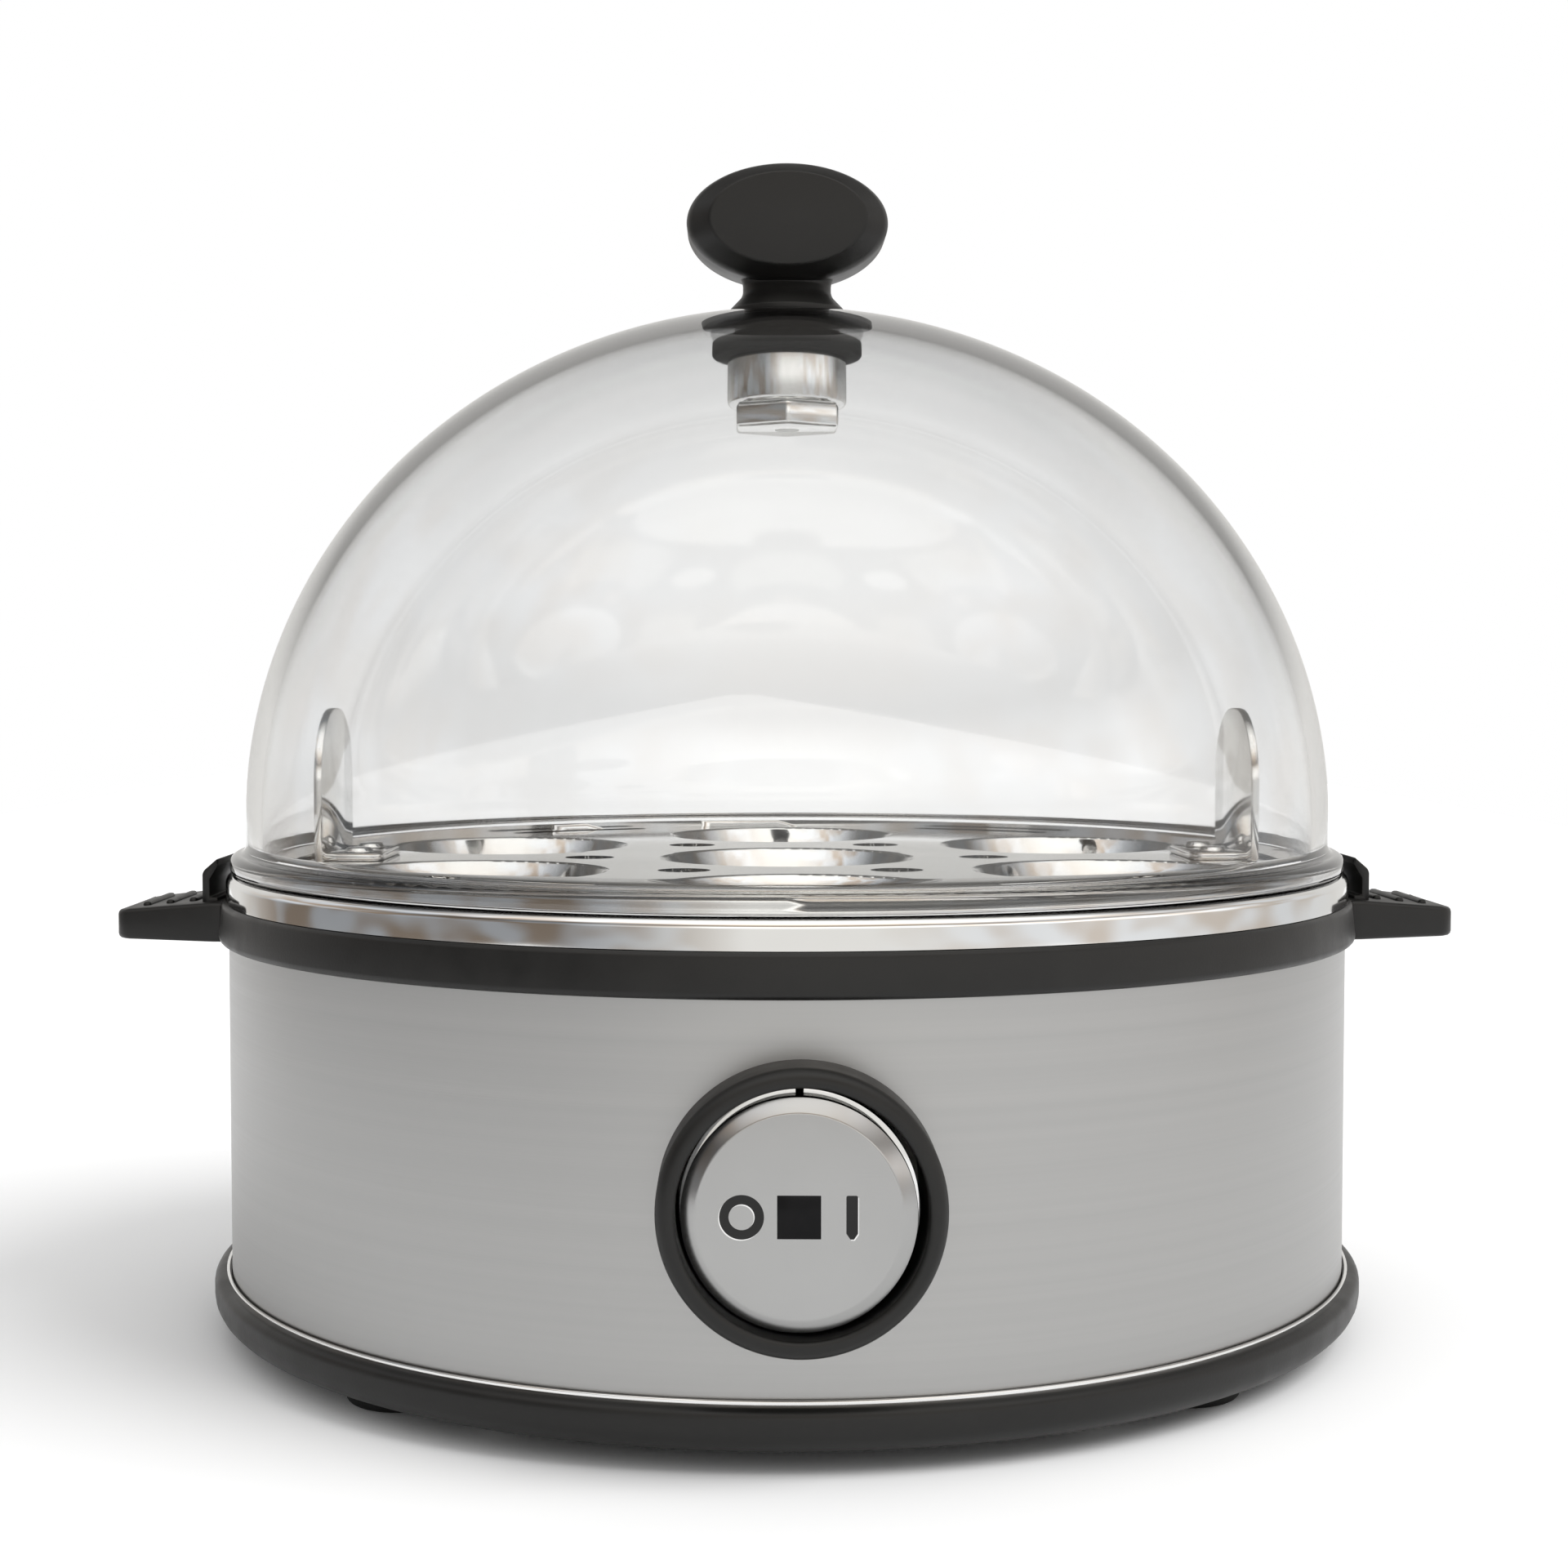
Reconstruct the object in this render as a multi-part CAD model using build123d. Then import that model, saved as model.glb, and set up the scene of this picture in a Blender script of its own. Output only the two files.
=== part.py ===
from build123d import *
import math
import os

# Electric egg cooker in millimetres. +Z is up, the switch looks along -Y, and the origin is on the
# table under the middle of the body. Every joint stands at its rest value: lid down, tray down, switch off.

# Fits and cuts that all pieces share
overrun = 2.0
slip = 0.1
pin_slip = 0.05
free_gap = 0.3

# Heights up the outside of the body, from the table
foot_stand = 2.5
base_ring_height = 5.6
trim_height = 0.9
wall_show = 45.7
collar_height = 5.5
rim_height = 3.8
base_low = foot_stand
base_top = base_low + base_ring_height
trim_top = base_top + trim_height
collar_low = trim_top + wall_show
collar_top = collar_low + collar_height
rim_top = collar_top + rim_height

# Steel wall
wall_radius = 80.0
wall_sheet = 0.6
wall_tuck_high = 2.5
wall_tuck_low = 1.8
wall_inner = wall_radius - wall_sheet
wall_low = base_top - wall_tuck_low
wall_high = collar_low + wall_tuck_high
groove_outer = wall_radius + slip
groove_inner = wall_inner - slip

# Boiling pan, drawn from sheet, with a turned-down bright rim
pan_sheet = 0.8
rim_proud = 0.4
rim_edge_round = 1.2
rim_shelf = 10.5
well_slope = 6.5
well_depth = 20.0
well_mouth_round = 2.5
well_floor_round = 8.0
rim_radius = wall_radius + rim_proud
well_top_radius = wall_radius - rim_shelf
rim_under = rim_top - pan_sheet
pan_floor = rim_top - well_depth
pan_under = pan_floor - pan_sheet
well_floor_radius = well_top_radius - well_slope

# Gasket and studs between the pan's rim and the collar
gasket_height = 1.0
gasket_edge = 0.6
stud_radius = 1.5
stud_length = 9.5
stud_count = 3
stud_first_angle = 90.0
pan_nut_radius = 3.2
pan_nut_height = 2.4

# Collar ring with ears, lugs and screw posts
collar_proud = 1.5
collar_top_proud = 0.9
collar_edge_round = 0.8
collar_lip = 1.7
collar_lip_drop = 1.7
collar_land_width = 8.5
collar_web = 4.2
collar_radius = wall_radius + collar_proud
land_outer = rim_radius - pan_sheet - slip
land_inner = land_outer - collar_land_width
land_top = rim_under - gasket_height
web_low = land_top - collar_web
lip_inner = groove_inner - collar_lip
stud_ring = lip_inner - pan_nut_radius - free_gap
ear_reach = 15.5
ear_root_half = 14.0
ear_tip_half = 11.0
ear_tip_round = 2.5
ear_root_drop = 0.5
ear_tip_drop = 1.8
ear_nose_rise = 0.2
ear_edge_round = 0.8
ear_rib_radius = 0.6
ear_rib_length = 15.0
ear_rib_count = 3
ear_rib_pitch = 3.3
ear_rib_inset = 3.6
ear_tip = wall_radius + ear_reach
lug_gap = 0.6
lug_thickness = 2.2
lug_wall = 1.1
lug_half = 7.0
lug_outer_rise = 3.0
lug_inner_rise = 3.8
lug_round = 1.2
lug_inner = rim_radius + lug_gap
lug_outer = lug_inner + lug_thickness
post_radius = 3.8
post_wall_gap = 1.9
post_pilot_depth = 13.0
post_angles = (60.0, 120.0, 240.0, 300.0)
post_ring = wall_inner - post_radius - post_wall_gap

# Base ring, bright trim ring and bottom cover
base_proud = 2.05
base_low_round = 2.2
base_top_round = 1.3
ledge_height = 3.1
ledge_width = 10.2
cover_sheet = 2.2
cover_edge = 1.6
trim_proud = 0.85
trim_round = 0.4
base_radius = wall_radius + base_proud
ledge_low = base_top - ledge_height
ledge_inner = groove_inner - ledge_width
cover_low = ledge_low - cover_sheet
cover_seat_radius = groove_inner - cover_edge
cover_radius = cover_seat_radius - slip
vent_count = 10
vent_inner = 18.0
vent_length = 22.0
vent_width = 3.0

# Screws through the cover into the collar's posts
screw_radius = 1.4
screw_head_radius = 2.9
screw_head_height = 1.1
screw_reach = 12.0
screw_slot_width = 0.8
screw_slot_depth = 0.5

# Rubber feet
foot_radius = 6.3
foot_edge_round = 0.7
foot_stem_radius = 2.5
foot_inset = 1.6
foot_ring = cover_radius - foot_radius - foot_inset
foot_diagonal = 45.0

# Heater under the pan
plate_radius = 50.0
plate_height = 4.0
plate_low = pan_under - plate_height
tube_radius = 3.3
tube_ring_radius = 40.0
tube_gap_half_angle = 26.0
tube_bend = 6.0
tube_drop = 12.0
element_pin_radius = 1.5
element_pin_length = 8.0

# Dry-boil thermostat under the heater plate
thermostat_radius = 8.0
thermostat_flange_radius = 10.5
thermostat_flange = 1.5
thermostat_height = 9.0
tab_thickness = 0.8
tab_width = 6.3
tab_length = 8.0
tab_offset = 4.0
clamp_half_length = 21.0
clamp_half_width = 11.0
clamp_sheet = 1.0
clamp_pad_length = 7.0
clamp_screw_head_radius = 2.6
clamp_screw_head_height = 1.5
clamp_screw_reach = 2.6
flange_low = plate_low - thermostat_flange
clamp_low = flange_low - clamp_sheet
thermostat_low = plate_low - thermostat_height
clamp_screw_x = clamp_half_length - clamp_pad_length / 2

# Thermal fuse and its saddle clip
fuse_radius = 2.1
fuse_length = 14.0
fuse_wire_radius = 0.5
fuse_wire_length = 11.0
fuse_set_back = 22.0
clip_sheet = 0.8
clip_width = 7.0
clip_ear = 5.0

# Clear lid
dome_inset = 2.4
dome_wall = 2.2
dome_spring = 7.1
dome_flattening = 4.4
lip_inset = 0.2
lip_height = 2.8
lip_low_round = 0.8
lip_top_round = 1.3
lip_root_round = 1.4
pad_radius = 8.4
dome_radius = wall_radius - dome_inset
dome_inner = dome_radius - dome_wall
dome_rise = dome_radius - dome_flattening
lip_radius = wall_radius - lip_inset
spring_level = rim_top + dome_spring
pad_level = spring_level + dome_rise * math.sqrt(1 - (pad_radius / dome_radius) ** 2)

# Egg tray with seats, slots and lifting tabs
tray_sheet = 1.0
tray_rim_height = 2.0
tray_gap = 0.7
seat_radius = 18.5
seat_depth = 6.0
seat_slope = 3.0
seat_mouth_round = 1.2
seat_gap = 0.8
seat_count = 6
seat_first_angle = 30.0
slot_width = 3.2
slot_margin = 2.0
slot_half_angle = 9.0
steam_hole_radius = 3.6
lift_half_width = 12.0
lift_rise = 22.0
lift_corner_round = 10.5
lift_slot_gap = 1.3
lift_sheet = 1.2
lift_foot_length = 8.0
lift_foot_half = 9.0
rivet_radius = 1.3
rivet_head_radius = 2.2
rivet_head_height = 0.8
rivet_offset = 5.0
tray_radius = dome_inner - tray_gap
tray_top = rim_top + tray_sheet
seat_ring = well_top_radius - seat_gap - seat_radius
slot_ring = tray_radius - tray_sheet - slot_margin - slot_width / 2
lift_x = slot_ring - slot_width / 2 - lift_slot_gap - lift_sheet

# Lid knob and its fixing
knob_width = 29.0
knob_height = 17.0
knob_depth = 16.0
knob_edge_round = 3.3
knob_top_rise = 21.25
neck_radius = 6.4
neck_flare_radius = 7.3
neck_foot_radius = 8.3
neck_foot_height = 0.8
neck_slope_height = 2.0
neck_waist_height = 1.6
neck_flare_height = 2.4
neck_round = 1.2
knob_stud_radius = 1.75
knob_stud_embed = 14.0
washer_radius = 11.0
washer_height = 3.0
knob_nut_radius = 8.7
knob_nut_body = 7.4
knob_nut_hex = 3.4
knob_nut_hex_radius = 8.5
knob_nut_edge = 0.8
washer_room = washer_radius + free_gap
crown_inner = spring_level + (dome_rise - dome_wall) * math.sqrt(1 - (washer_room / dome_inner) ** 2)
washer_low = crown_inner - washer_height
nut_low = washer_low - knob_nut_body - knob_nut_hex
knob_middle = pad_level + knob_top_rise - knob_height / 2

# Front switch; "out" lengths run forward from the front of the wall
switch_rise = 22.4
bezel_out = 7.0
bezel_radius = 16.5
bezel_bore = 14.25
bezel_skirt_radius = 15.3
bezel_outer_round = 1.8
bezel_inner_round = 0.6
skirt_depth = 11.0
cap_radius = 13.1
cap_face_radius = 11.4
cap_face_out = 7.4
cap_edge_out = 6.3
cap_back_out = 5.3
band_thickness = 1.1
band_proud = 0.1
band_front_gap = 2.6
band_bevel = 0.9
band_back_out = 0.4
band_slit = 0.6
pivot_back = 3.0
pivot_pin_radius = 1.2
pivot_pin_reach = 14.9
rest_tilt = -2.0
hub_half_width = 4.5
hub_half_height = 11.0
hub_back = 6.0
stem_radius = 1.5
window_size = 4.9
mark_o_offset = 6.4
mark_o_radius = 2.5
mark_o_bore = 1.45
mark_i_offset = 5.9
mark_i_width = 1.3
mark_i_height = 4.9
mark_depth = 0.4
mark_sink = 0.1
lamp_radius = 1.8
lamp_length = 9.0
lamp_back_out = 1.8
housing_wall = 1.7
housing_step = 3.0
housing_rear_radius = 9.5
housing_rear_depth = 8.0
blade_half_length = 6.5
blade_thickness = 0.6
blade_height = 5.0
blade_tilt = 6.0
contact_pin_radius = 0.7
contact_pin_reach = 9.0
terminal_offset = 5.0
terminal_thickness = 0.8
terminal_height = 6.3
terminal_tail = 8.0
switch_level = trim_top + switch_rise
front = -wall_radius
pivot_y = front + pivot_back
skirt_end = front + skirt_depth
housing_step_end = skirt_end + housing_step
housing_end = housing_step_end + housing_rear_depth
contact_y = skirt_end + housing_step / 2
stem_end = contact_y - contact_pin_radius - free_gap
common_tip = contact_y + contact_pin_radius + free_gap
blade_swing = (terminal_offset + terminal_thickness / 2) * math.tan(math.radians(blade_tilt))
contact_tip = contact_y + blade_thickness / 2 + blade_swing + free_gap

# Cord entry at the back
gland_rise = 8.5
gland_bore = 3.6
gland_neck = 6.0
gland_flange = 8.0
gland_flange_out = 3.0
gland_nose_out = 7.5
gland_nose_radius = 5.8
gland_back = 5.0
gland_level = trim_top + gland_rise
cord_boss_radius = 3.0
cord_boss_height = 5.0
cord_boss_x = 9.0
cord_boss_back = 24.0
cord_clamp_width = 7.0
cord_clamp_height = 4.5
cord_clamp_relief = 3.2
cord_screw_radius = 1.1
cord_screw_head_radius = 2.4
cord_screw_head_height = 1.4
cord_screw_reach = 4.0
cord_boss_y = wall_radius - cord_boss_back
cord_boss_top = ledge_low + cord_boss_height
cord_clamp_top = cord_boss_top + cord_clamp_height

# Terminal block and inner leads
block_length = 20.0
block_width = 11.0
block_height = 12.0
block_x = 30.0
block_edge_gap = 4.7
block_hole_radius = 1.5
block_hole_rise = 6.0
block_hole_pitch = 9.0
block_hole_depth = 8.0
block_screw_radius = 2.0
block_screw_depth = 3.0
lead_radius = 1.2
lead_low = 12.0
lead_run = 7.0
lead_side = 30.0
lead_inner_side = 15.0
lead_arc_share = 0.45
block_corner_x = block_x + block_length / 2
block_corner_y = math.sqrt((ledge_inner - block_edge_gap) ** 2 - block_corner_x ** 2)
block_y = block_corner_y - block_width / 2


def drawn(*curves):
    """Close flat curves, drawn as radius and height, into a face on the front plane."""
    return Plane.XZ * make_face(Curve() + list(curves))


def turned(corners, rounds):
    """Turn a closed outline of (radius, height) corners, rounded as listed, about the upright axis."""
    outline = FilletPolyline(*corners, radius=rounds, close=True)
    return revolve(Plane.XZ * make_face(outline), Axis.Z)


def tube(outer, inner, low, high):
    """Upright tube between two levels."""
    return rod(outer, low, high) - rod(inner, low - overrun, high + overrun)


def rod(radius, low, high, x=0, y=0):
    """Upright round rod between two levels."""
    return Pos(x, y, (low + high) / 2) * Cylinder(radius, high - low)


def rod_y(radius, start, end, x=0, z=0):
    """Round rod along Y between two places."""
    return Pos(x, (start + end) / 2, z) * Rot(X=90) * Cylinder(radius, end - start)


def rod_x(radius, start, end, y=0, z=0):
    """Round rod along X between two places."""
    return Pos((start + end) / 2, y, z) * Rot(Y=90) * Cylinder(radius, end - start)


def block(x, y, z):
    """Box from its low and high place along each axis."""
    size = [high - low for low, high in (x, y, z)]
    middle = [(high + low) / 2 for low, high in (x, y, z)]
    return Pos(*middle) * Box(*size)


def polar(radius, angle):
    """Place on a circle round the upright axis."""
    return radius * math.cos(math.radians(angle)), radius * math.sin(math.radians(angle))


def around(count, first):
    """Evenly spaced angles, from a first one."""
    return [first + 360 / count * step for step in range(count)]


def slab(corners, rounds, half_width):
    """Side outline of (x, z) corners, given a width along Y."""
    outline = Plane.XZ * make_face(FilletPolyline(*corners, radius=rounds, close=True))
    return extrude(outline, half_width, both=True)


def both_sides(piece):
    """A piece at +X together with its mirror at -X."""
    return piece + mirror(piece, Plane.YZ)


# Steel parts of the body

def boiling_pan():
    """Drawn pan: bright skirt, flat rim for tray and lid, sloping well and flat floor."""
    run = math.hypot(well_slope, well_depth)
    side = pan_sheet * run / well_depth
    corners = [
        (rim_radius, collar_top),
        (rim_radius, rim_top),
        (well_top_radius, rim_top),
        (well_floor_radius, pan_floor),
        (0, pan_floor),
        (0, pan_under),
        (well_floor_radius + side, pan_under),
        (well_top_radius + side, rim_under),
        (rim_radius - pan_sheet, rim_under),
        (rim_radius - pan_sheet, collar_top),
    ]
    outer_floor_round = well_floor_round + pan_sheet
    inner_mouth_round = well_mouth_round - pan_sheet
    inner_edge_round = rim_edge_round - pan_sheet
    rounds = [0, rim_edge_round, well_mouth_round, well_floor_round, 0, 0]
    rounds += [outer_floor_round, inner_mouth_round, inner_edge_round, 0]
    return turned(corners, rounds)


def body_shell():
    """Rolled steel wall with the switch hole in front and the gland hole behind."""
    wall = tube(wall_radius, wall_inner, wall_low, wall_high)
    switch_hole = rod_y(bezel_skirt_radius + slip, front - overrun, front / 2, z=switch_level)
    gland_hole = rod_y(gland_neck + slip, wall_radius / 2, wall_radius + overrun, z=gland_level)
    return wall - switch_hole - gland_hole


def base_trim_ring():
    """Thin bright ring that stands on the base ring, round the wall's foot."""
    outer = wall_radius + trim_proud
    corners = [(groove_outer, base_top), (outer, base_top), (outer, trim_top), (groove_outer, trim_top)]
    return turned(corners, [0, 0, trim_round, 0])


# Moulded parts of the body

def collar_ring():
    """Collar with a groove for the wall, a land for the pan, ears, lid lugs and screw posts."""
    lip_low = collar_low - collar_lip_drop
    corners = [
        (groove_outer, collar_low),
        (collar_radius, collar_low),
        (wall_radius + collar_top_proud, collar_top),
        (land_outer, collar_top),
        (land_outer, land_top),
        (land_inner, land_top),
        (land_inner, web_low),
        (lip_inner, web_low),
        (lip_inner, lip_low),
        (groove_inner, lip_low),
        (groove_inner, wall_high),
        (groove_outer, wall_high),
    ]
    rounds = [0, collar_edge_round, collar_edge_round]
    rounds += [0] * (len(corners) - len(rounds))
    ring = turned(corners, rounds)
    posts = [collar_post(angle) for angle in post_angles]
    ring = ring + both_sides(collar_ear()) + both_sides(lid_lug()) + posts
    pilots = [post_pilot(angle) for angle in post_angles]
    return ring - stud_holes(web_low, land_top) - pilots


def collar_post(angle):
    """Post that hangs from the collar to the base ring."""
    return rod(post_radius, base_top, web_low + collar_web / 2, *polar(post_ring, angle))


def post_pilot(angle):
    """Blind screw hole up a post."""
    end = base_top + post_pilot_depth
    return rod(screw_radius + pin_slip, base_top - overrun, end, *polar(post_ring, angle))


def collar_ear():
    """Ear at +X: thins towards its rounded tip, with grip ribs across its top."""
    root = land_inner
    top_root = collar_top - ear_root_drop
    top_tip = collar_top - ear_tip_drop
    nose = collar_low + ear_nose_rise
    corners = [(root, collar_low), (collar_radius, collar_low), (ear_tip, nose), (ear_tip, top_tip)]
    corners += [(collar_radius, top_root), (root, top_root)]
    rounds = [0, 0, ear_edge_round, ear_edge_round, 0, 0]
    side = slab(corners, rounds, ear_root_half)
    outline = [(root, -ear_root_half), (collar_radius, -ear_root_half), (ear_tip, -ear_tip_half)]
    outline += [(x, -y) for x, y in reversed(outline)]
    plan_rounds = [0, 0, ear_tip_round, ear_tip_round, 0, 0]
    plan = make_face(FilletPolyline(*outline, radius=plan_rounds, close=True))
    ear = side & extrude(Pos(0, 0, collar_low) * plan, collar_height)
    fall = (ear_tip_drop - ear_root_drop) / (ear_tip - collar_radius)
    for step in range(ear_rib_count):
        back = ear_rib_inset + step * ear_rib_pitch
        level = top_tip + fall * back
        rib = Pos(ear_tip - back, 0, level) * Rot(X=90) * Cylinder(ear_rib_radius, ear_rib_length)
        ear = ear + rib
    return ear - rod(groove_outer, collar_low - overrun, rim_top)


def lid_lug():
    """Thin hood at +X beside the lid, open at both ends and towards the pan's rim."""
    foot = collar_top - ear_root_drop - ear_edge_round
    roof_outer = collar_top + lug_outer_rise
    roof_inner = collar_top + lug_inner_rise
    corners = [(land_inner, foot), (lug_outer, foot), (lug_outer, roof_outer)]
    corners += [(lug_inner, roof_inner), (land_inner, roof_inner)]
    hood = slab(corners, [0, 0, lug_round, 0, 0], lug_half)
    room_outer = lug_outer - lug_wall
    room = [(land_inner, collar_top), (room_outer, collar_top), (room_outer, roof_outer - lug_wall)]
    room += [(lug_inner, roof_inner - lug_wall), (land_inner, roof_inner - lug_wall)]
    hood = hood - slab(room, [0] * len(room), lug_half + overrun)
    return hood - rod(lug_inner, foot - overrun, rim_top + lug_inner_rise)


def base_ring():
    """Base ring: rounded outside, groove for the wall, ledge for posts and cover."""
    corners = [
        (cover_seat_radius, base_low),
        (base_radius, base_low),
        (base_radius, base_top),
        (groove_outer, base_top),
        (groove_outer, wall_low),
        (groove_inner, wall_low),
        (groove_inner, base_top),
        (ledge_inner, base_top),
        (ledge_inner, ledge_low),
        (cover_seat_radius, ledge_low),
    ]
    rounds = [0, base_low_round, base_top_round]
    rounds += [0] * (len(corners) - len(rounds))
    ring = turned(corners, rounds)
    holes = [screw_hole(angle, ledge_low, base_top) for angle in post_angles]
    return ring - holes


def screw_hole(angle, low, high):
    """Clear hole for a cover screw."""
    return rod(screw_radius + slip, low - overrun, high + overrun, *polar(post_ring, angle))


def bottom_cover():
    """Round cover with vents, sunk screw holes, foot holes and two bosses for the cord clamp."""
    cover = rod(cover_radius, cover_low, ledge_low)
    sink = ledge_low - cover_sheet + screw_head_height
    vent_middle = vent_inner + vent_length / 2
    for angle in around(vent_count, 0):
        vent = SlotOverall(vent_length, vent_width)
        vent = Rot(Z=angle) * Pos(vent_middle, 0, cover_low - overrun) * vent
        cover = cover - extrude(vent, cover_sheet + 2 * overrun)
    for angle in post_angles:
        place = polar(post_ring, angle)
        cover = cover - screw_hole(angle, cover_low, ledge_low)
        cover = cover - rod(screw_head_radius + slip, cover_low - overrun, sink, *place)
    for place in foot_places().values():
        cover = cover - rod(foot_stem_radius + pin_slip, cover_low - overrun, ledge_low + overrun, *place)
    for x in (-cord_boss_x, cord_boss_x):
        cover = cover + rod(cord_boss_radius, cover_low + cover_sheet / 2, cord_boss_top, x, cord_boss_y)
        pilot = cord_boss_top - cord_screw_reach - free_gap, cord_boss_top + overrun
        cover = cover - rod(cord_screw_radius + pin_slip, *pilot, x, cord_boss_y)
    return cover


def cover_screws():
    """Slotted screws from below, through cover and ledge, into the posts."""
    screws = Part()
    head_low = cover_low + free_gap / 2
    head_high = cover_low + screw_head_height
    for angle in post_angles:
        x, y = polar(post_ring, angle)
        screw = rod(screw_head_radius, head_low, head_high, x, y)
        screw = screw + rod(screw_radius, head_high, base_top + screw_reach, x, y)
        along = x - screw_head_radius, x + screw_head_radius
        across = y - screw_slot_width / 2, y + screw_slot_width / 2
        screws = screws + (screw - block(along, across, (head_low - overrun, head_low + screw_slot_depth)))
    return screws


def foot_places():
    """Places of the four feet, by name."""
    names = ("rear_right", "rear_left", "front_left", "front_right")
    return dict(zip(names, [polar(foot_ring, angle) for angle in around(len(names), foot_diagonal)]))


def foot(place):
    """Rubber foot with a stem pressed into the cover."""
    corners = [(0, 0), (foot_radius, 0), (foot_radius, cover_low), (foot_stem_radius, cover_low)]
    corners += [(foot_stem_radius, ledge_low), (0, ledge_low)]
    return Pos(*place) * turned(corners, [0, foot_edge_round, 0, 0, 0, 0])


# Fixing of the pan on the collar

def rim_gasket():
    """Flat silicone ring between the pan's rim and the collar's land."""
    ring = tube(land_outer - gasket_edge, land_inner + gasket_edge, land_top, rim_under)
    return ring - stud_holes(land_top, rim_under)


def stud_places():
    """Places of the studs under the pan's rim."""
    return [polar(stud_ring, angle) for angle in around(stud_count, stud_first_angle)]


def stud_holes(low, high):
    """Clear holes for the studs between two levels."""
    return [rod(stud_radius + slip, low - overrun, high + overrun, *place) for place in stud_places()]


def pan_studs():
    """Studs welded under the pan's rim."""
    foot_level = rim_under - stud_length
    return Part() + [rod(stud_radius, foot_level, rim_under, *place) for place in stud_places()]


def pan_nuts():
    """Hexagon nuts that pull the pan down on the gasket."""
    nuts = Part()
    for place in stud_places():
        hexagon = Pos(*place, web_low - pan_nut_height) * RegularPolygon(pan_nut_radius, 6)
        nuts = nuts + (extrude(hexagon, pan_nut_height) - rod(stud_radius + pin_slip, 0, rim_top, *place))
    return nuts


# Heater

def heater_plate():
    """Aluminium plate brazed under the pan, grooved for the heating tube."""
    plate = rod(plate_radius, plate_low, pan_under)
    groove = Pos(0, 0, plate_low) * Torus(tube_ring_radius, tube_radius + pin_slip)
    holes = [clamp_screw_hole(x) for x in (-clamp_screw_x, clamp_screw_x)]
    return plate - groove - holes


def clamp_screw_hole(x):
    """Blind hole in the plate for a clamp screw."""
    return rod(screw_radius + pin_slip, plate_low - overrun, plate_low + clamp_screw_reach + slip, x)


def tube_end(sign):
    """End of the tube's arc, the corner of its bend and the top and foot of its leg."""
    angle = 90 + sign * tube_gap_half_angle
    x, y = polar(tube_ring_radius, angle)
    along = Vector(*polar(1, angle - sign * 90), 0)
    start = Vector(x, y, plate_low)
    centre = start - Vector(0, 0, tube_bend)
    middle = centre + (Vector(0, 0, tube_bend) + along * tube_bend) * math.sqrt(0.5)
    leg = centre + along * tube_bend
    return start, middle, leg, leg - Vector(0, 0, tube_drop - tube_bend)


def heating_element():
    """Sheathed tube bent to an open ring, with both ends turned down at the back."""
    start, start_middle, start_leg, start_foot = tube_end(1)
    end, end_middle, end_leg, end_foot = tube_end(-1)
    sweep_angle = 360 - 2 * tube_gap_half_angle
    arc = Pos(0, 0, plate_low) * CenterArc((0, 0), tube_ring_radius, 90 + tube_gap_half_angle, sweep_angle)
    path = Wire([
        Line(start_foot, start_leg).edge(),
        ThreePointArc(start_leg, start_middle, start).edge(),
        arc.edge(),
        ThreePointArc(end, end_middle, end_leg).edge(),
        Line(end_leg, end_foot).edge(),
    ])
    section = Plane(origin=start_foot, z_dir=(0, 0, 1)) * Circle(tube_radius)
    return sweep(section, path=path)


def element_pins():
    """Terminal pins that stand out of the tube's ends."""
    pins = Part()
    for sign in (-1, 1):
        x, y, high = tube_end(sign)[-1]
        pins = pins + rod(element_pin_radius, high - element_pin_length, high, x, y)
    return pins


def thermostat():
    """Snap-disc thermostat: flange against the plate and a round body below."""
    flange = rod(thermostat_flange_radius, flange_low, plate_low)
    return flange + rod(thermostat_radius, thermostat_low, plate_low)


def thermostat_tabs():
    """Two blade terminals under the thermostat."""
    tabs = Part()
    along = -tab_width / 2, tab_width / 2
    for x in (-tab_offset, tab_offset):
        across = x - tab_thickness / 2, x + tab_thickness / 2
        tabs = tabs + block(across, along, (thermostat_low - tab_length, thermostat_low))
    return tabs


def thermostat_clamp():
    """Steel strap under the thermostat's flange, with raised ends screwed to the plate."""
    width = -clamp_half_width, clamp_half_width
    through = clamp_low - overrun, plate_low + overrun
    strap = block((-clamp_half_length, clamp_half_length), width, (clamp_low, flange_low))
    for sign in (-1, 1):
        ends = sorted((sign * clamp_half_length, sign * (clamp_half_length - clamp_pad_length)))
        strap = strap + block(ends, width, (clamp_low, plate_low))
        strap = strap - rod(screw_radius + slip, *through, sign * clamp_screw_x)
    return strap - rod(thermostat_radius + slip, *through)


def clamp_screws():
    """Screws that hold the strap to the plate."""
    screws = Part()
    for x in (-clamp_screw_x, clamp_screw_x):
        screw = rod(clamp_screw_head_radius, clamp_low - clamp_screw_head_height, clamp_low, x)
        screws = screws + (screw + rod(screw_radius, clamp_low, plate_low + clamp_screw_reach, x))
    return screws


def fuse_level():
    """Height of the thermal fuse's axis under the plate."""
    return plate_low - fuse_radius - pin_slip


def thermal_fuse():
    """Thermal fuse across the plate's front half, with a stiff wire at each end."""
    reach = fuse_length / 2 + fuse_wire_length
    body = rod_x(fuse_radius, -fuse_length / 2, fuse_length / 2, -fuse_set_back, fuse_level())
    return body + rod_x(fuse_wire_radius, -reach, reach, -fuse_set_back, fuse_level())


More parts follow.
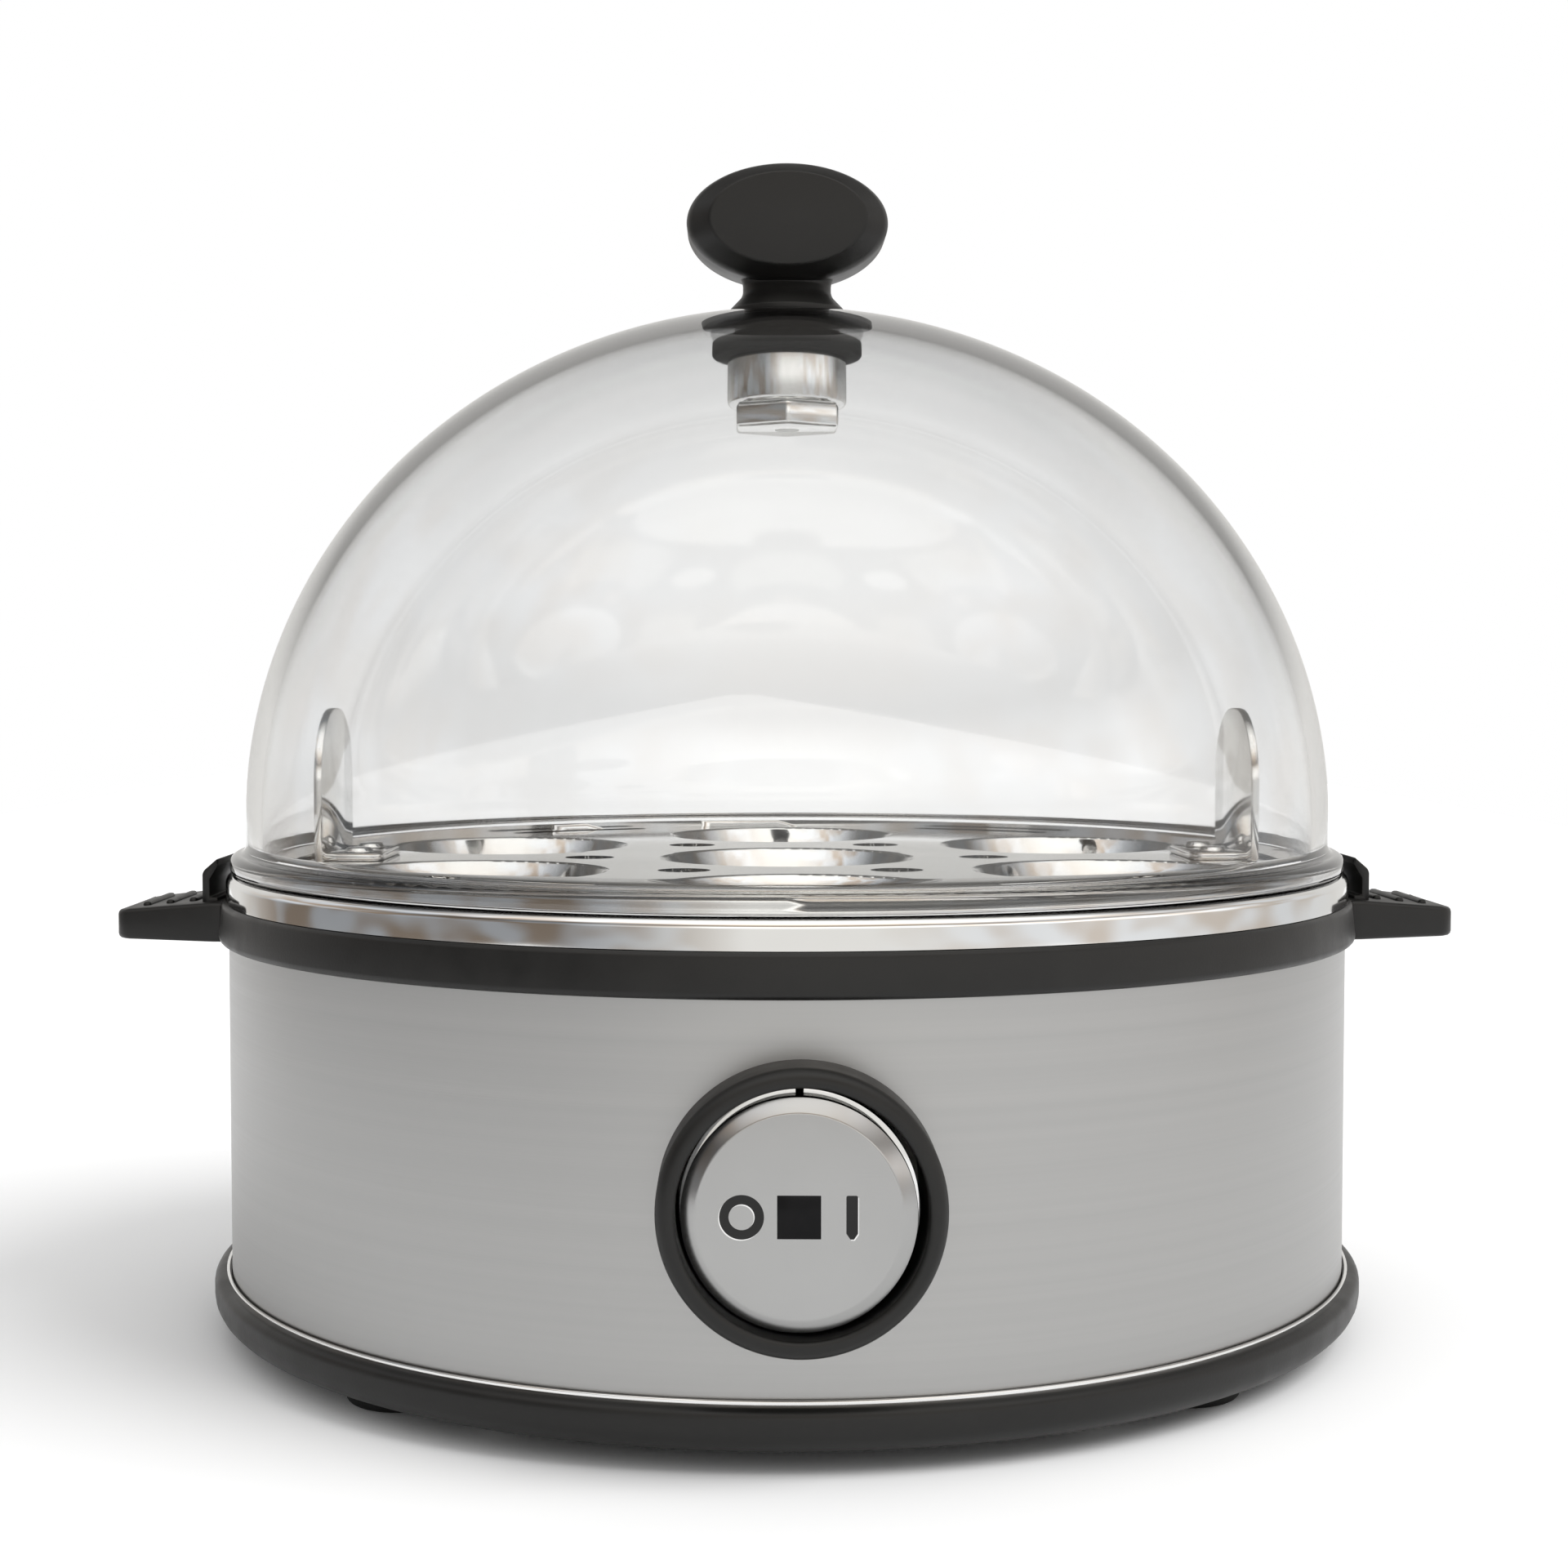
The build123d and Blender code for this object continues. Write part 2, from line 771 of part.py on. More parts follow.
def fuse_clip():
    """Saddle strip round the fuse, its ears flat against the plate."""
    width = -clip_width / 2, clip_width / 2
    outer = fuse_radius + pin_slip + clip_sheet
    saddle = rod_x(outer, *width, -fuse_set_back, fuse_level())
    cheeks = -fuse_set_back - outer, -fuse_set_back + outer
    saddle = saddle + block(width, cheeks, (fuse_level(), plate_low))
    ears = -fuse_set_back - outer - clip_ear, -fuse_set_back + outer + clip_ear
    saddle = saddle + block(width, ears, (plate_low - clip_sheet, plate_low))
    inner = fuse_radius + pin_slip
    channel = rod_x(inner, width[0] - overrun, width[1] + overrun, -fuse_set_back, fuse_level())
    mouth = (-fuse_set_back - inner, -fuse_set_back + inner), (fuse_level(), plate_low + overrun)
    return saddle - channel - block((width[0] - overrun, width[1] + overrun), *mouth)


# Egg tray

def seat_places():
    """Middle seat and the ring of seats."""
    return [(0, 0)] + [polar(seat_ring, angle) for angle in around(seat_count, seat_first_angle)]


def seat_cup():
    """Sloping dish of one seat, open below, at the tray's middle."""
    mouth = seat_radius + seat_mouth_round
    low = tray_top - seat_depth
    corners = [
        (mouth, tray_top),
        (seat_radius, tray_top),
        (seat_radius - seat_slope, low),
        (seat_radius - seat_slope + tray_sheet, low),
        (seat_radius + tray_sheet, rim_top),
        (mouth, rim_top),
    ]
    return turned(corners, [0, seat_mouth_round / 2, 0, 0, 0, 0])


def arc_slot(angle):
    """Steam slot that follows the tray's edge."""
    centre_arc = CenterArc((0, 0), slot_ring, angle - slot_half_angle, 2 * slot_half_angle)
    slot = SlotArc(centre_arc, slot_width)
    return extrude(Pos(0, 0, rim_top - overrun) * slot, tray_sheet + 2 * overrun)


def egg_tray():
    """Pressed steel tray: flat web, low rim, a dish for each seat, steam slots and holes."""
    edge = tray_radius - tray_sheet
    corners = [
        (0, rim_top),
        (tray_radius, rim_top),
        (tray_radius, rim_top + tray_rim_height),
        (edge, rim_top + tray_rim_height),
        (edge, tray_top),
        (0, tray_top),
    ]
    tray = turned(corners, [0, tray_sheet / 2, 0, 0, 0, 0])
    through = rim_top - overrun, tray_top + overrun
    tray = tray - [rod(seat_radius + seat_mouth_round / 2, *through, *place) for place in seat_places()]
    tray = tray + [Pos(*place) * seat_cup() for place in seat_places()]
    between = around(seat_count, seat_first_angle + 180 / seat_count)
    tray = tray - [arc_slot(angle) for angle in between]
    steam_ring = seat_ring / math.sqrt(3)
    for angle in between:
        tray = tray - rod(steam_hole_radius, *through, *polar(steam_ring, angle))
    for place in rivet_places():
        tray = tray - rod(rivet_radius + pin_slip, *through, *place)
    return tray


def rivet_places():
    """Rivets of both lifting tabs."""
    x = lift_x - lift_foot_length / 2
    return [(sx * x, sy * rivet_offset) for sx in (-1, 1) for sy in (-1, 1)]


def tray_handle(sign):
    """Bent tab: a foot riveted on the tray and an upright round-topped plate."""
    top = tray_top + lift_rise
    corners = [(-lift_half_width, tray_top), (lift_half_width, tray_top)]
    corners += [(lift_half_width, top), (-lift_half_width, top)]
    rounds = [0, 0, lift_corner_round, lift_corner_round]
    face = make_face(FilletPolyline(*corners, radius=rounds, close=True))
    plate = Pos(lift_x, 0, 0) * extrude(Plane.YZ * face, lift_sheet)
    foot_x = lift_x - lift_foot_length, lift_x + lift_sheet
    plate = plate + block(foot_x, (-lift_foot_half, lift_foot_half), (tray_top, tray_top + lift_sheet))
    for x, y in rivet_places():
        plate = plate - rod(rivet_radius + pin_slip, rim_top, tray_top + lift_sheet + overrun, abs(x), y)
    return plate if sign > 0 else mirror(plate, Plane.YZ)


def tray_rivets():
    """Rivets with a low head on the tab's foot and a flat head under the tray."""
    rivets = Part()
    foot_top = tray_top + lift_sheet
    for x, y in rivet_places():
        rivet = rod(rivet_radius, rim_top - rivet_head_height, foot_top + rivet_head_height, x, y)
        rivet = rivet + rod(rivet_head_radius, foot_top, foot_top + rivet_head_height, x, y)
        rivets = rivets + (rivet + rod(rivet_head_radius, rim_top - rivet_head_height, rim_top, x, y))
    return rivets


# Lid

def lid_dome():
    """Clear dome: rolled lip that rests on the pan's rim, and a flat crown drilled for the stud."""
    lip = FilletPolyline(
        (0, rim_top),
        (lip_radius, rim_top),
        (lip_radius, rim_top + lip_height),
        (dome_radius, rim_top + lip_height),
        (dome_radius, spring_level),
        radius=[lip_low_round, lip_top_round, lip_root_round],
    )
    crown = spring_level + dome_rise
    arch = EllipticalCenterArc((0, spring_level), dome_radius, dome_rise, arc_size=90)
    outer = revolve(drawn(lip, arch, Line((0, crown), (0, rim_top))), Axis.Z)
    inner_rise = dome_rise - dome_wall
    low = rim_top - overrun
    inner_arch = EllipticalCenterArc((0, spring_level), dome_inner, inner_rise, arc_size=90)
    inner_corners = [(0, spring_level + inner_rise), (0, low), (dome_inner, low), (dome_inner, spring_level)]
    inner_edges = Polyline(*inner_corners)
    hollow = revolve(drawn(inner_arch, inner_edges), Axis.Z)
    hollow = hollow & rod(dome_radius, low, crown_inner)
    dome = (outer & rod(wall_radius, low, pad_level)) - hollow
    return dome - rod(knob_stud_radius + slip, crown_inner - overrun, pad_level + overrun)


def lid_knob():
    """Oval paddle knob with flat front and back, on a waisted neck."""
    oval = Plane.XZ * Ellipse(knob_width / 2, knob_height / 2)
    paddle = extrude(oval, knob_depth / 2, both=True)
    paddle = fillet(paddle.edges().filter_by(GeomType.ELLIPSE), knob_edge_round)
    paddle = Pos(0, 0, knob_middle) * paddle
    foot_top = pad_level + neck_foot_height
    waist_low = foot_top + neck_slope_height
    waist_high = waist_low + neck_waist_height
    flare = waist_high + neck_flare_height
    corners = [
        (0, pad_level),
        (neck_foot_radius, pad_level),
        (neck_foot_radius, foot_top),
        (neck_radius, waist_low),
        (neck_radius, waist_high),
        (neck_flare_radius, flare),
        (0, knob_middle),
    ]
    neck = turned(corners, [0, 0, neck_foot_height / 2, neck_round, neck_round, 0, 0])
    stud_room = pad_level - overrun, pad_level + knob_stud_embed
    return paddle + neck - rod(knob_stud_radius + pin_slip, *stud_room)


def knob_stud():
    """Threaded stud moulded in the knob, through the crown, to the nut's foot."""
    return rod(knob_stud_radius, nut_low, pad_level + knob_stud_embed)


def knob_seal_washer():
    """Black silicone washer under the crown."""
    return tube(washer_radius, knob_stud_radius + slip, washer_low, crown_inner)


def knob_nut():
    """Polished flange nut with a hexagon end."""
    body_low = washer_low - knob_nut_body
    nut = rod(knob_nut_radius, body_low, washer_low)
    hexagon = extrude(Pos(0, 0, nut_low) * RegularPolygon(knob_nut_hex_radius, 6), knob_nut_hex)
    hexagon = chamfer(hexagon.faces().sort_by(Axis.Z)[0].edges(), knob_nut_edge)
    return nut + hexagon - rod(knob_stud_radius + pin_slip, nut_low - overrun, washer_low + overrun)


# Front switch

def at_switch(corners, rounds):
    """Turn a closed outline of (radius, out) corners about the switch's own axis, which points forward."""
    piece = turned(corners, rounds)
    return Pos(0, front, switch_level) * Rot(X=90) * piece


def rocked(piece):
    """Turn a rocker piece about its upright pivot to the off position."""
    return Pos(0, pivot_y, 0) * Rot(Z=rest_tilt) * Pos(0, -pivot_y, 0) * piece


def switch_bezel():
    """Thick black ring on the wall, with a skirt through the wall that carries the pivot."""
    corners = [
        (bezel_bore, -skirt_depth),
        (bezel_radius, -skirt_depth),
        (bezel_radius, bezel_out),
        (bezel_bore, bezel_out),
    ]
    bezel = at_switch(corners, [0, 0, bezel_outer_round, bezel_inner_round])
    skirt = rod_y(bezel_skirt_radius, front - overrun, 0, z=switch_level)
    pin_end = pivot_pin_reach + slip
    pin_holes = rod(pivot_pin_radius + pin_slip, switch_level - pin_end, switch_level + pin_end, 0, pivot_y)
    return bezel - (rod(wall_radius, 0, collar_top) - skirt) - pin_holes


def switch_housing():
    """Cup behind the wall: grips the bezel's skirt and closes the contacts in a small rear box."""
    inner = bezel_skirt_radius + slip
    outer = inner + housing_wall
    rear_inner = housing_rear_radius - housing_wall
    step = -skirt_depth - housing_step
    rear = step - housing_rear_depth
    corners = [
        (inner, 0),
        (outer, 0),
        (outer, step),
        (housing_rear_radius, step),
        (housing_rear_radius, rear),
        (0, rear),
        (0, rear + housing_wall),
        (rear_inner, rear + housing_wall),
        (rear_inner, -skirt_depth),
        (inner, -skirt_depth),
    ]
    cup = at_switch(corners, [0] * len(corners)) & rod(groove_inner, 0, collar_low)
    pin_end = contact_pin_reach + slip
    pin = contact_pin_radius + pin_slip
    cup = cup - rod(pin, switch_level - pin_end, switch_level + pin_end, 0, contact_y)
    for x in (-terminal_offset, 0, terminal_offset):
        cup = cup - terminal(x, front, slip)
    return cup


def terminal(x, tip, grow=0):
    """Blade terminal from its tip inside the switch to its tail behind it."""
    across = x - terminal_thickness / 2 - grow, x + terminal_thickness / 2 + grow
    up = switch_level - terminal_height / 2 - grow, switch_level + terminal_height / 2 + grow
    start = max(tip, housing_end - housing_wall - overrun) if grow else tip
    return block(across, (start, housing_end + terminal_tail), up)


def switch_terminals():
    """Common blade in the middle, live contact on the off side and lamp feed on the other."""
    sides = [terminal(x, contact_tip) for x in (-terminal_offset, terminal_offset)]
    return Part() + [terminal(0, common_tip)] + sides


def contact_blade():
    """Seesaw contact strip on a pin that turns in the housing."""
    along = -blade_half_length, blade_half_length
    up = -blade_height / 2, blade_height / 2
    strip = block(along, (-blade_thickness / 2, blade_thickness / 2), up)
    strip = strip + rod(contact_pin_radius, -contact_pin_reach, contact_pin_reach)
    return Pos(0, contact_y, switch_level) * Rot(Z=blade_tilt) * strip


def rocker_cap():
    """Round steel cap with a bevelled edge, pierced for the lamp window and sunk for the marks."""
    corners = [
        (0, cap_back_out),
        (cap_radius, cap_back_out),
        (cap_radius, cap_edge_out),
        (cap_face_radius, cap_face_out),
        (0, cap_face_out),
    ]
    cap = at_switch(corners, [0] * len(corners))
    half = window_size / 2 + pin_slip
    face = front - cap_face_out
    back = front - cap_back_out
    up = switch_level - half, switch_level + half
    opening = block((-half, half), (face - overrun, back + overrun), up)
    return rocked(cap - opening - marks(face - overrun, pin_slip))


def marks(start, grow=0):
    """O and I, from a start in front of the face down to the depth of their sinks."""
    end = front - cap_face_out + mark_depth
    ring = rod_y(mark_o_radius + grow, start, end, -mark_o_offset, switch_level)
    ring = ring - rod_y(mark_o_bore - grow, start - overrun, end + overrun, -mark_o_offset, switch_level)
    across = mark_i_offset - mark_i_width / 2 - grow, mark_i_offset + mark_i_width / 2 + grow
    up = switch_level - mark_i_height / 2 - grow, switch_level + mark_i_height / 2 + grow
    return Part() + [ring, block(across, (start, end), up)]


def rocker_marks():
    """Dark inlays of the off and on marks."""
    return rocked(marks(front - cap_face_out + mark_sink))


def lamp_window():
    """Square smoked lens in the middle of the cap."""
    half = window_size / 2
    depth = front - cap_face_out + mark_sink, front - cap_back_out
    return rocked(block((-half, half), depth, (switch_level - half, switch_level + half)))


def rocker_band():
    """Polished band round the carrier, bevelled in front and split above and below."""
    outer = cap_radius + band_proud
    inner = outer - band_thickness
    band_front = cap_back_out - band_front_gap
    corners = [(inner, band_back_out), (outer, band_back_out), (outer, band_front - band_bevel), (inner, band_front)]
    band = at_switch(corners, [0] * len(corners))
    slit = (-band_slit / 2, band_slit / 2), (front - cap_back_out - overrun, front)
    return rocked(band - block(*slit, (switch_level - wall_radius, switch_level + wall_radius)))


def rocker_carrier():
    """Black plug inside the band, with a hub, two pivot pins and the stem that tips the contact."""
    outer = cap_radius + band_proud - band_thickness - pin_slip
    corners = [(0, band_back_out), (outer, band_back_out), (outer, cap_back_out), (0, cap_back_out)]
    plug = at_switch(corners, [0] * len(corners))
    up = switch_level - hub_half_height, switch_level + hub_half_height
    hub_end = front + hub_back
    plug = plug + block((-hub_half_width, hub_half_width), (front - band_back_out - slip, hub_end), up)
    pins = switch_level - pivot_pin_reach, switch_level + pivot_pin_reach
    plug = plug + rod(pivot_pin_radius, *pins, 0, pivot_y)
    plug = plug + rod_y(stem_radius, hub_end - slip, stem_end, z=switch_level)
    lamp_room = lamp_radius + free_gap
    lamp_y = front - lamp_back_out
    room = (-lamp_room, lamp_room), (front - cap_back_out - overrun, lamp_y + lamp_room)
    half = lamp_length / 2 + free_gap
    return rocked(plug - block(*room, (switch_level - half, switch_level + half)))


def indicator_lamp():
    """Small glow lamp behind the window."""
    half = lamp_length / 2
    return rocked(rod(lamp_radius, switch_level - half, switch_level + half, 0, front - lamp_back_out))


# Cord entry, terminal block and leads

def cord_gland():
    """Rubber bush with a groove for the wall and a bore for the cord."""
    corners = [
        (gland_bore, -gland_back),
        (gland_flange, -gland_back),
        (gland_flange, gland_flange_out),
        (gland_nose_radius, gland_nose_out),
        (gland_bore, gland_nose_out),
    ]
    bush = Pos(0, wall_radius, gland_level) * Rot(X=-90) * turned(corners, [0] * len(corners))
    groove = tube(wall_radius + pin_slip, wall_inner - pin_slip, wall_low, wall_high)
    return bush - (groove - rod_y(gland_neck, wall_radius / 2, wall_radius + overrun, z=gland_level))


def cord_clamp():
    """Bar across two bosses, arched over the cord's place."""
    width = cord_boss_y - cord_clamp_width / 2, cord_boss_y + cord_clamp_width / 2
    reach = cord_boss_x + cord_boss_radius
    bar = block((-reach, reach), width, (cord_boss_top, cord_clamp_top))
    bar = bar - rod_y(cord_clamp_relief, width[0] - overrun, width[1] + overrun, z=cord_boss_top)
    for x in (-cord_boss_x, cord_boss_x):
        through = cord_boss_top - overrun, cord_clamp_top + overrun
        bar = bar - rod(cord_screw_radius + slip, *through, x, cord_boss_y)
    return bar


def cord_clamp_screws():
    """Two screws through the bar into the bosses."""
    screws = Part()
    for x in (-cord_boss_x, cord_boss_x):
        screw = rod(cord_screw_radius, cord_boss_top - cord_screw_reach, cord_clamp_top, x, cord_boss_y)
        head_top = cord_clamp_top + cord_screw_head_height
        head = rod(cord_screw_head_radius, cord_clamp_top, head_top, x, cord_boss_y)
        screws = screws + (screw + head)
    return screws


def terminal_block():
    """Block on the cover with two wire holes and a clamp screw hole above each."""
    across = block_x - block_length / 2, block_x + block_length / 2
    along = block_y - block_width / 2, block_y + block_width / 2
    top = ledge_low + block_height
    body = block(across, along, (ledge_low, top))
    for side in (-1, 1):
        x = block_x + side * block_hole_pitch / 2
        level = ledge_low + block_hole_rise
        body = body - rod_y(block_hole_radius, along[0] - overrun, along[0] + block_hole_depth, x, level)
        body = body - rod(block_screw_radius, top - block_screw_depth, top + overrun, x, block_y)
    return body


def lead(points):
    """Insulated wire along straight runs joined by arcs as large as the runs allow."""
    spots = [Vector(*point) for point in points]
    radii = []
    for before, corner, after in zip(spots, spots[1:], spots[2:]):
        turn = math.radians((corner - before).get_angle(after - corner))
        shorter = min((corner - before).length, (after - corner).length)
        radii.append(lead_arc_share * shorter / math.tan(turn / 2))
    path = FilletPolyline(*spots, radius=radii)
    section = Plane(origin=spots[0], z_dir=spots[1] - spots[0]) * Circle(lead_radius)
    return sweep(section, path=path)


def lead_switch_thermostat():
    """From the live contact of the switch to the thermostat."""
    tail = housing_end + terminal_tail
    tab_low = thermostat_low - tab_length
    points = [
        (-terminal_offset, tail, switch_level),
        (-terminal_offset, tail + lead_run, switch_level),
        (-terminal_offset, tail + 2 * lead_run, switch_level - lead_run),
        (-tab_offset, -2 * lead_run, lead_low),
        (-tab_offset, -lead_run / 2, lead_low),
        (-tab_offset, 0, tab_low - lead_run / 2),
        (-tab_offset, 0, tab_low),
    ]
    return lead(points)


def lead_thermostat_element():
    """From the thermostat to one end of the heating tube."""
    pin = tube_end(-1)[-1]
    pin_low = pin.Z - element_pin_length
    tab_low = thermostat_low - tab_length
    points = [
        (tab_offset, 0, tab_low),
        (tab_offset, 0, tab_low - lead_run / 2),
        (tab_offset + lead_run / 2, lead_run, lead_low),
        (pin.X, pin.Y - lead_run, lead_low),
        (pin.X, pin.Y, pin_low - lead_run / 2),
        (pin.X, pin.Y, pin_low),
    ]
    return lead(points)


def fuse_tail(sign):
    """Corner points of a lead where it leaves the fuse and drops past the element."""
    end = fuse_length / 2 + fuse_wire_length
    level = fuse_level()
    return [
        (sign * end, -fuse_set_back, level),
        (sign * (end + lead_run / 2), -fuse_set_back, level),
        (sign * (end + lead_run), -fuse_set_back + lead_run, level - lead_run),
        (sign * lead_side, 0, lead_low + lead_run),
    ]


def lead_element_fuse():
    """From the other end of the heating tube to the thermal fuse."""
    pin = tube_end(1)[-1]
    pin_low = pin.Z - element_pin_length
    points = fuse_tail(-1)
    points += [
        (pin.X - lead_run, pin.Y - lead_run, lead_low),
        (pin.X, pin.Y, pin_low - lead_run / 2),
        (pin.X, pin.Y, pin_low),
    ]
    return lead(points)


def lead_fuse_block():
    """From the thermal fuse to the terminal block."""
    level = ledge_low + block_hole_rise
    face = block_y - block_width / 2
    x = block_x + block_hole_pitch / 2
    points = fuse_tail(1)
    points += [(x, face - 2 * lead_run, level), (x, face, level)]
    return lead(points)


def lead_block_switch():
    """From the terminal block to the common blade of the switch."""
    level = ledge_low + block_hole_rise
    face = block_y - block_width / 2
    x = block_x - block_hole_pitch / 2
    tail = housing_end + terminal_tail
    points = [
        (x, face, level),
        (x, face - 2 * lead_run, level),
        (lead_inner_side, -2 * lead_run, lead_low),
        (0, tail + 2 * lead_run, switch_level - lead_run),
        (0, tail + lead_run, switch_level),
        (0, tail, switch_level),
    ]
    return lead(points)


pieces = {
    "lid_dome": lid_dome(),
    "lid_knob": lid_knob(),
    "knob_stud": knob_stud(),
    "knob_seal_washer": knob_seal_washer(),
    "knob_nut": knob_nut(),
    "egg_tray": egg_tray(),
    "tray_handle_left": tray_handle(-1),
    "tray_handle_right": tray_handle(1),
    "tray_rivets": tray_rivets(),
    "boiling_pan": boiling_pan(),
    "rim_gasket": rim_gasket(),
    "pan_studs": pan_studs(),
    "pan_nuts": pan_nuts(),
    "heater_plate": heater_plate(),
    "heating_element": heating_element(),
    "element_pins": element_pins(),
    "thermostat": thermostat(),
    "thermostat_tabs": thermostat_tabs(),
    "thermostat_clamp": thermostat_clamp(),
    "clamp_screws": clamp_screws(),
    "thermal_fuse": thermal_fuse(),
    "fuse_clip": fuse_clip(),
    "collar_ring": collar_ring(),
    "body_shell": body_shell(),
    "base_trim_ring": base_trim_ring(),
    "base_ring": base_ring(),
    "bottom_cover": bottom_cover(),
    "cover_screws": cover_screws(),
    "switch_bezel": switch_bezel(),
    "switch_housing": switch_housing(),
    "switch_terminals": switch_terminals(),
    "contact_blade": contact_blade(),
    "rocker_cap": rocker_cap(),
    "rocker_marks": rocker_marks(),
    "rocker_band": rocker_band(),
    "rocker_carrier": rocker_carrier(),
    "lamp_window": lamp_window(),
    "indicator_lamp": indicator_lamp(),
    "cord_gland": cord_gland(),
    "cord_clamp": cord_clamp(),
    "cord_clamp_screws": cord_clamp_screws(),
    "terminal_block": terminal_block(),
    "lead_switch_thermostat": lead_switch_thermostat(),
    "lead_thermostat_element": lead_thermostat_element(),
    "lead_element_fuse": lead_element_fuse(),
    "lead_fuse_block": lead_fuse_block(),
    "lead_block_switch": lead_block_switch(),
}
for name, place in foot_places().items():
    pieces["foot_" + name] = foot(place)

os.makedirs("parts", exist_ok=True)
for name, piece in pieces.items():
    export_step(piece, f"parts/{name}.step")
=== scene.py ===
import bmesh
import bpy
import math
from mathutils import Matrix, Vector


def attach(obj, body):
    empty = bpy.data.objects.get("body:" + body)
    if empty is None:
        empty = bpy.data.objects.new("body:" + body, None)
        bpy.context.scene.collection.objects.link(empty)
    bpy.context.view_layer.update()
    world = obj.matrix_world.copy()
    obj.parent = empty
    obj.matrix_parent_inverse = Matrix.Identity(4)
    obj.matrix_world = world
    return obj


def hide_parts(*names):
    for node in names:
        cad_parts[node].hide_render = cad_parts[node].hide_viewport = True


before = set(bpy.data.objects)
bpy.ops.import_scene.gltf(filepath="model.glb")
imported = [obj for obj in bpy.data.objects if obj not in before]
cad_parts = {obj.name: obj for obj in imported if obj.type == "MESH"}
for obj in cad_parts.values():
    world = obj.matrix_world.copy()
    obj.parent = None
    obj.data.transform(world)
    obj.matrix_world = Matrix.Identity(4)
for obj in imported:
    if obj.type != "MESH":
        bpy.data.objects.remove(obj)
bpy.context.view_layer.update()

# Rubber feet: four moulded pads, each pressed by a stem into the bottom cover. Matt black
# rubber with a soft lower edge and a shallow dish below that grips the table.
mm = 0.001


class Signal:
    """A node's output. Arithmetic on it adds Math nodes to its tree."""

    def __init__(self, tree, socket):
        self.tree = tree
        self.socket = socket

    def node(self, kind, settings, sockets, out=0):
        """Add a node with its settings, then the values or links of its sockets, and give one output."""
        made = self.tree.nodes.new(kind)
        for name, value in settings.items():
            setattr(made, name, value)
        for name, value in sockets.items():
            if isinstance(value, Signal):
                self.tree.links.new(value.socket, made.inputs[name])
            else:
                made.inputs[name].default_value = value
        return Signal(self.tree, made.outputs[out])

    def math(self, operation, first, second):
        """Add one Math node."""
        return self.node("ShaderNodeMath", {"operation": operation}, {0: first, 1: second})

    def __add__(self, other):
        return self.math("ADD", self, other)

    def __radd__(self, other):
        return self.math("ADD", other, self)

    def __sub__(self, other):
        return self.math("SUBTRACT", self, other)

    def __rsub__(self, other):
        return self.math("SUBTRACT", other, self)

    def __mul__(self, other):
        return self.math("MULTIPLY", self, other)

    def __rmul__(self, other):
        return self.math("MULTIPLY", other, self)

    def stretch(self, x, y, z):
        """Scale a place unevenly."""
        return self.node("ShaderNodeVectorMath", {"operation": "MULTIPLY"}, {0: self, 1: (x, y, z)})

    def noise(self, scale, detail=2.0):
        """Smooth noise at this place, about 0.3 to 0.7."""
        return self.node("ShaderNodeTexNoise", {}, {"Vector": self, "Scale": scale, "Detail": detail})

    def steps(self, low, high):
        """Rise evenly from 0 at low to 1 at high, and stay there beyond."""
        return self.node("ShaderNodeMapRange", {}, {"Value": self, "From Min": low, "From Max": high})

    def colours(self, first, second):
        """Mix two colours by this number."""
        return self.node("ShaderNodeMix", {"data_type": "RGBA"}, {0: self, 6: first, 7: second}, 2)

    def relief(self, depth):
        """Turn a height into a normal, for a relief of this depth in millimetres."""
        return self.node("ShaderNodeBump", {}, {"Height": self, "Distance": depth * mm, "Strength": 1.0})


def new_material(name, fixed):
    """Start a Principled material with its fixed values; give it and the piece's own coordinates."""
    made = bpy.data.materials.new(name)
    made.use_nodes = True
    shader = made.node_tree.nodes["Principled BSDF"]
    for socket, value in fixed.items():
        shader.inputs[socket].default_value = value
    start = made.node_tree.nodes.new("ShaderNodeTexCoord")
    return made, Signal(made.node_tree, start.outputs["Object"])


def vary(material, inputs):
    """Link what changes over the surface into the material's shader."""
    shader = material.node_tree.nodes["Principled BSDF"]
    for socket, signal in inputs.items():
        material.node_tree.links.new(signal.socket, shader.inputs[socket])


def grained(name, dark, light, rough, scale, depth, fixed):
    """Material with a mottled colour, a roughness that wanders and a fine grain in relief."""
    made, place = new_material(name, fixed)
    cloud = place.noise(scale / 14, 3.0).steps(0.3, 0.7)
    vary(made, {
        "Base Color": cloud.colours((*dark, 1), (*light, 1)),
        "Roughness": rough[0] + cloud * (rough[1] - rough[0]),
        "Normal": place.noise(scale).relief(depth),
    })
    return made


def round_corner(mesh, point, bend, segments):
    """Round one corner of an outline to this radius in millimetres."""
    before, after = [edge.other_vert(point).co - point.co for edge in point.link_edges]
    reach = bend * mm * math.tan((math.pi - before.angle(after)) / 2)
    bmesh.ops.bevel(mesh, geom=[point], affect="VERTICES", offset=reach, offset_type="OFFSET",
                    segments=segments, profile=0.5, material=-1)


def turned(outline, steps=192):
    """Spin an outline of (radius, height, round) corners, in millimetres, about the upright axis."""
    mesh = bmesh.new()
    points = [mesh.verts.new((radius * mm, 0, height * mm)) for radius, height, _ in outline]
    for first, second in zip(points, points[1:] + points[:1]):
        if first.co.x or second.co.x:
            mesh.edges.new((first, second))
    for point, (_, _, bend) in zip(points, outline):
        if bend:
            round_corner(mesh, point, bend, 5)
    bmesh.ops.spin(mesh, geom=mesh.verts[:] + mesh.edges[:], cent=(0, 0, 0), axis=(0, 0, 1),
                   angle=2 * math.pi, steps=steps, use_merge=True)
    bmesh.ops.remove_doubles(mesh, verts=mesh.verts, dist=0.0005 * mm)
    bmesh.ops.recalc_face_normals(mesh, faces=mesh.faces)
    return mesh


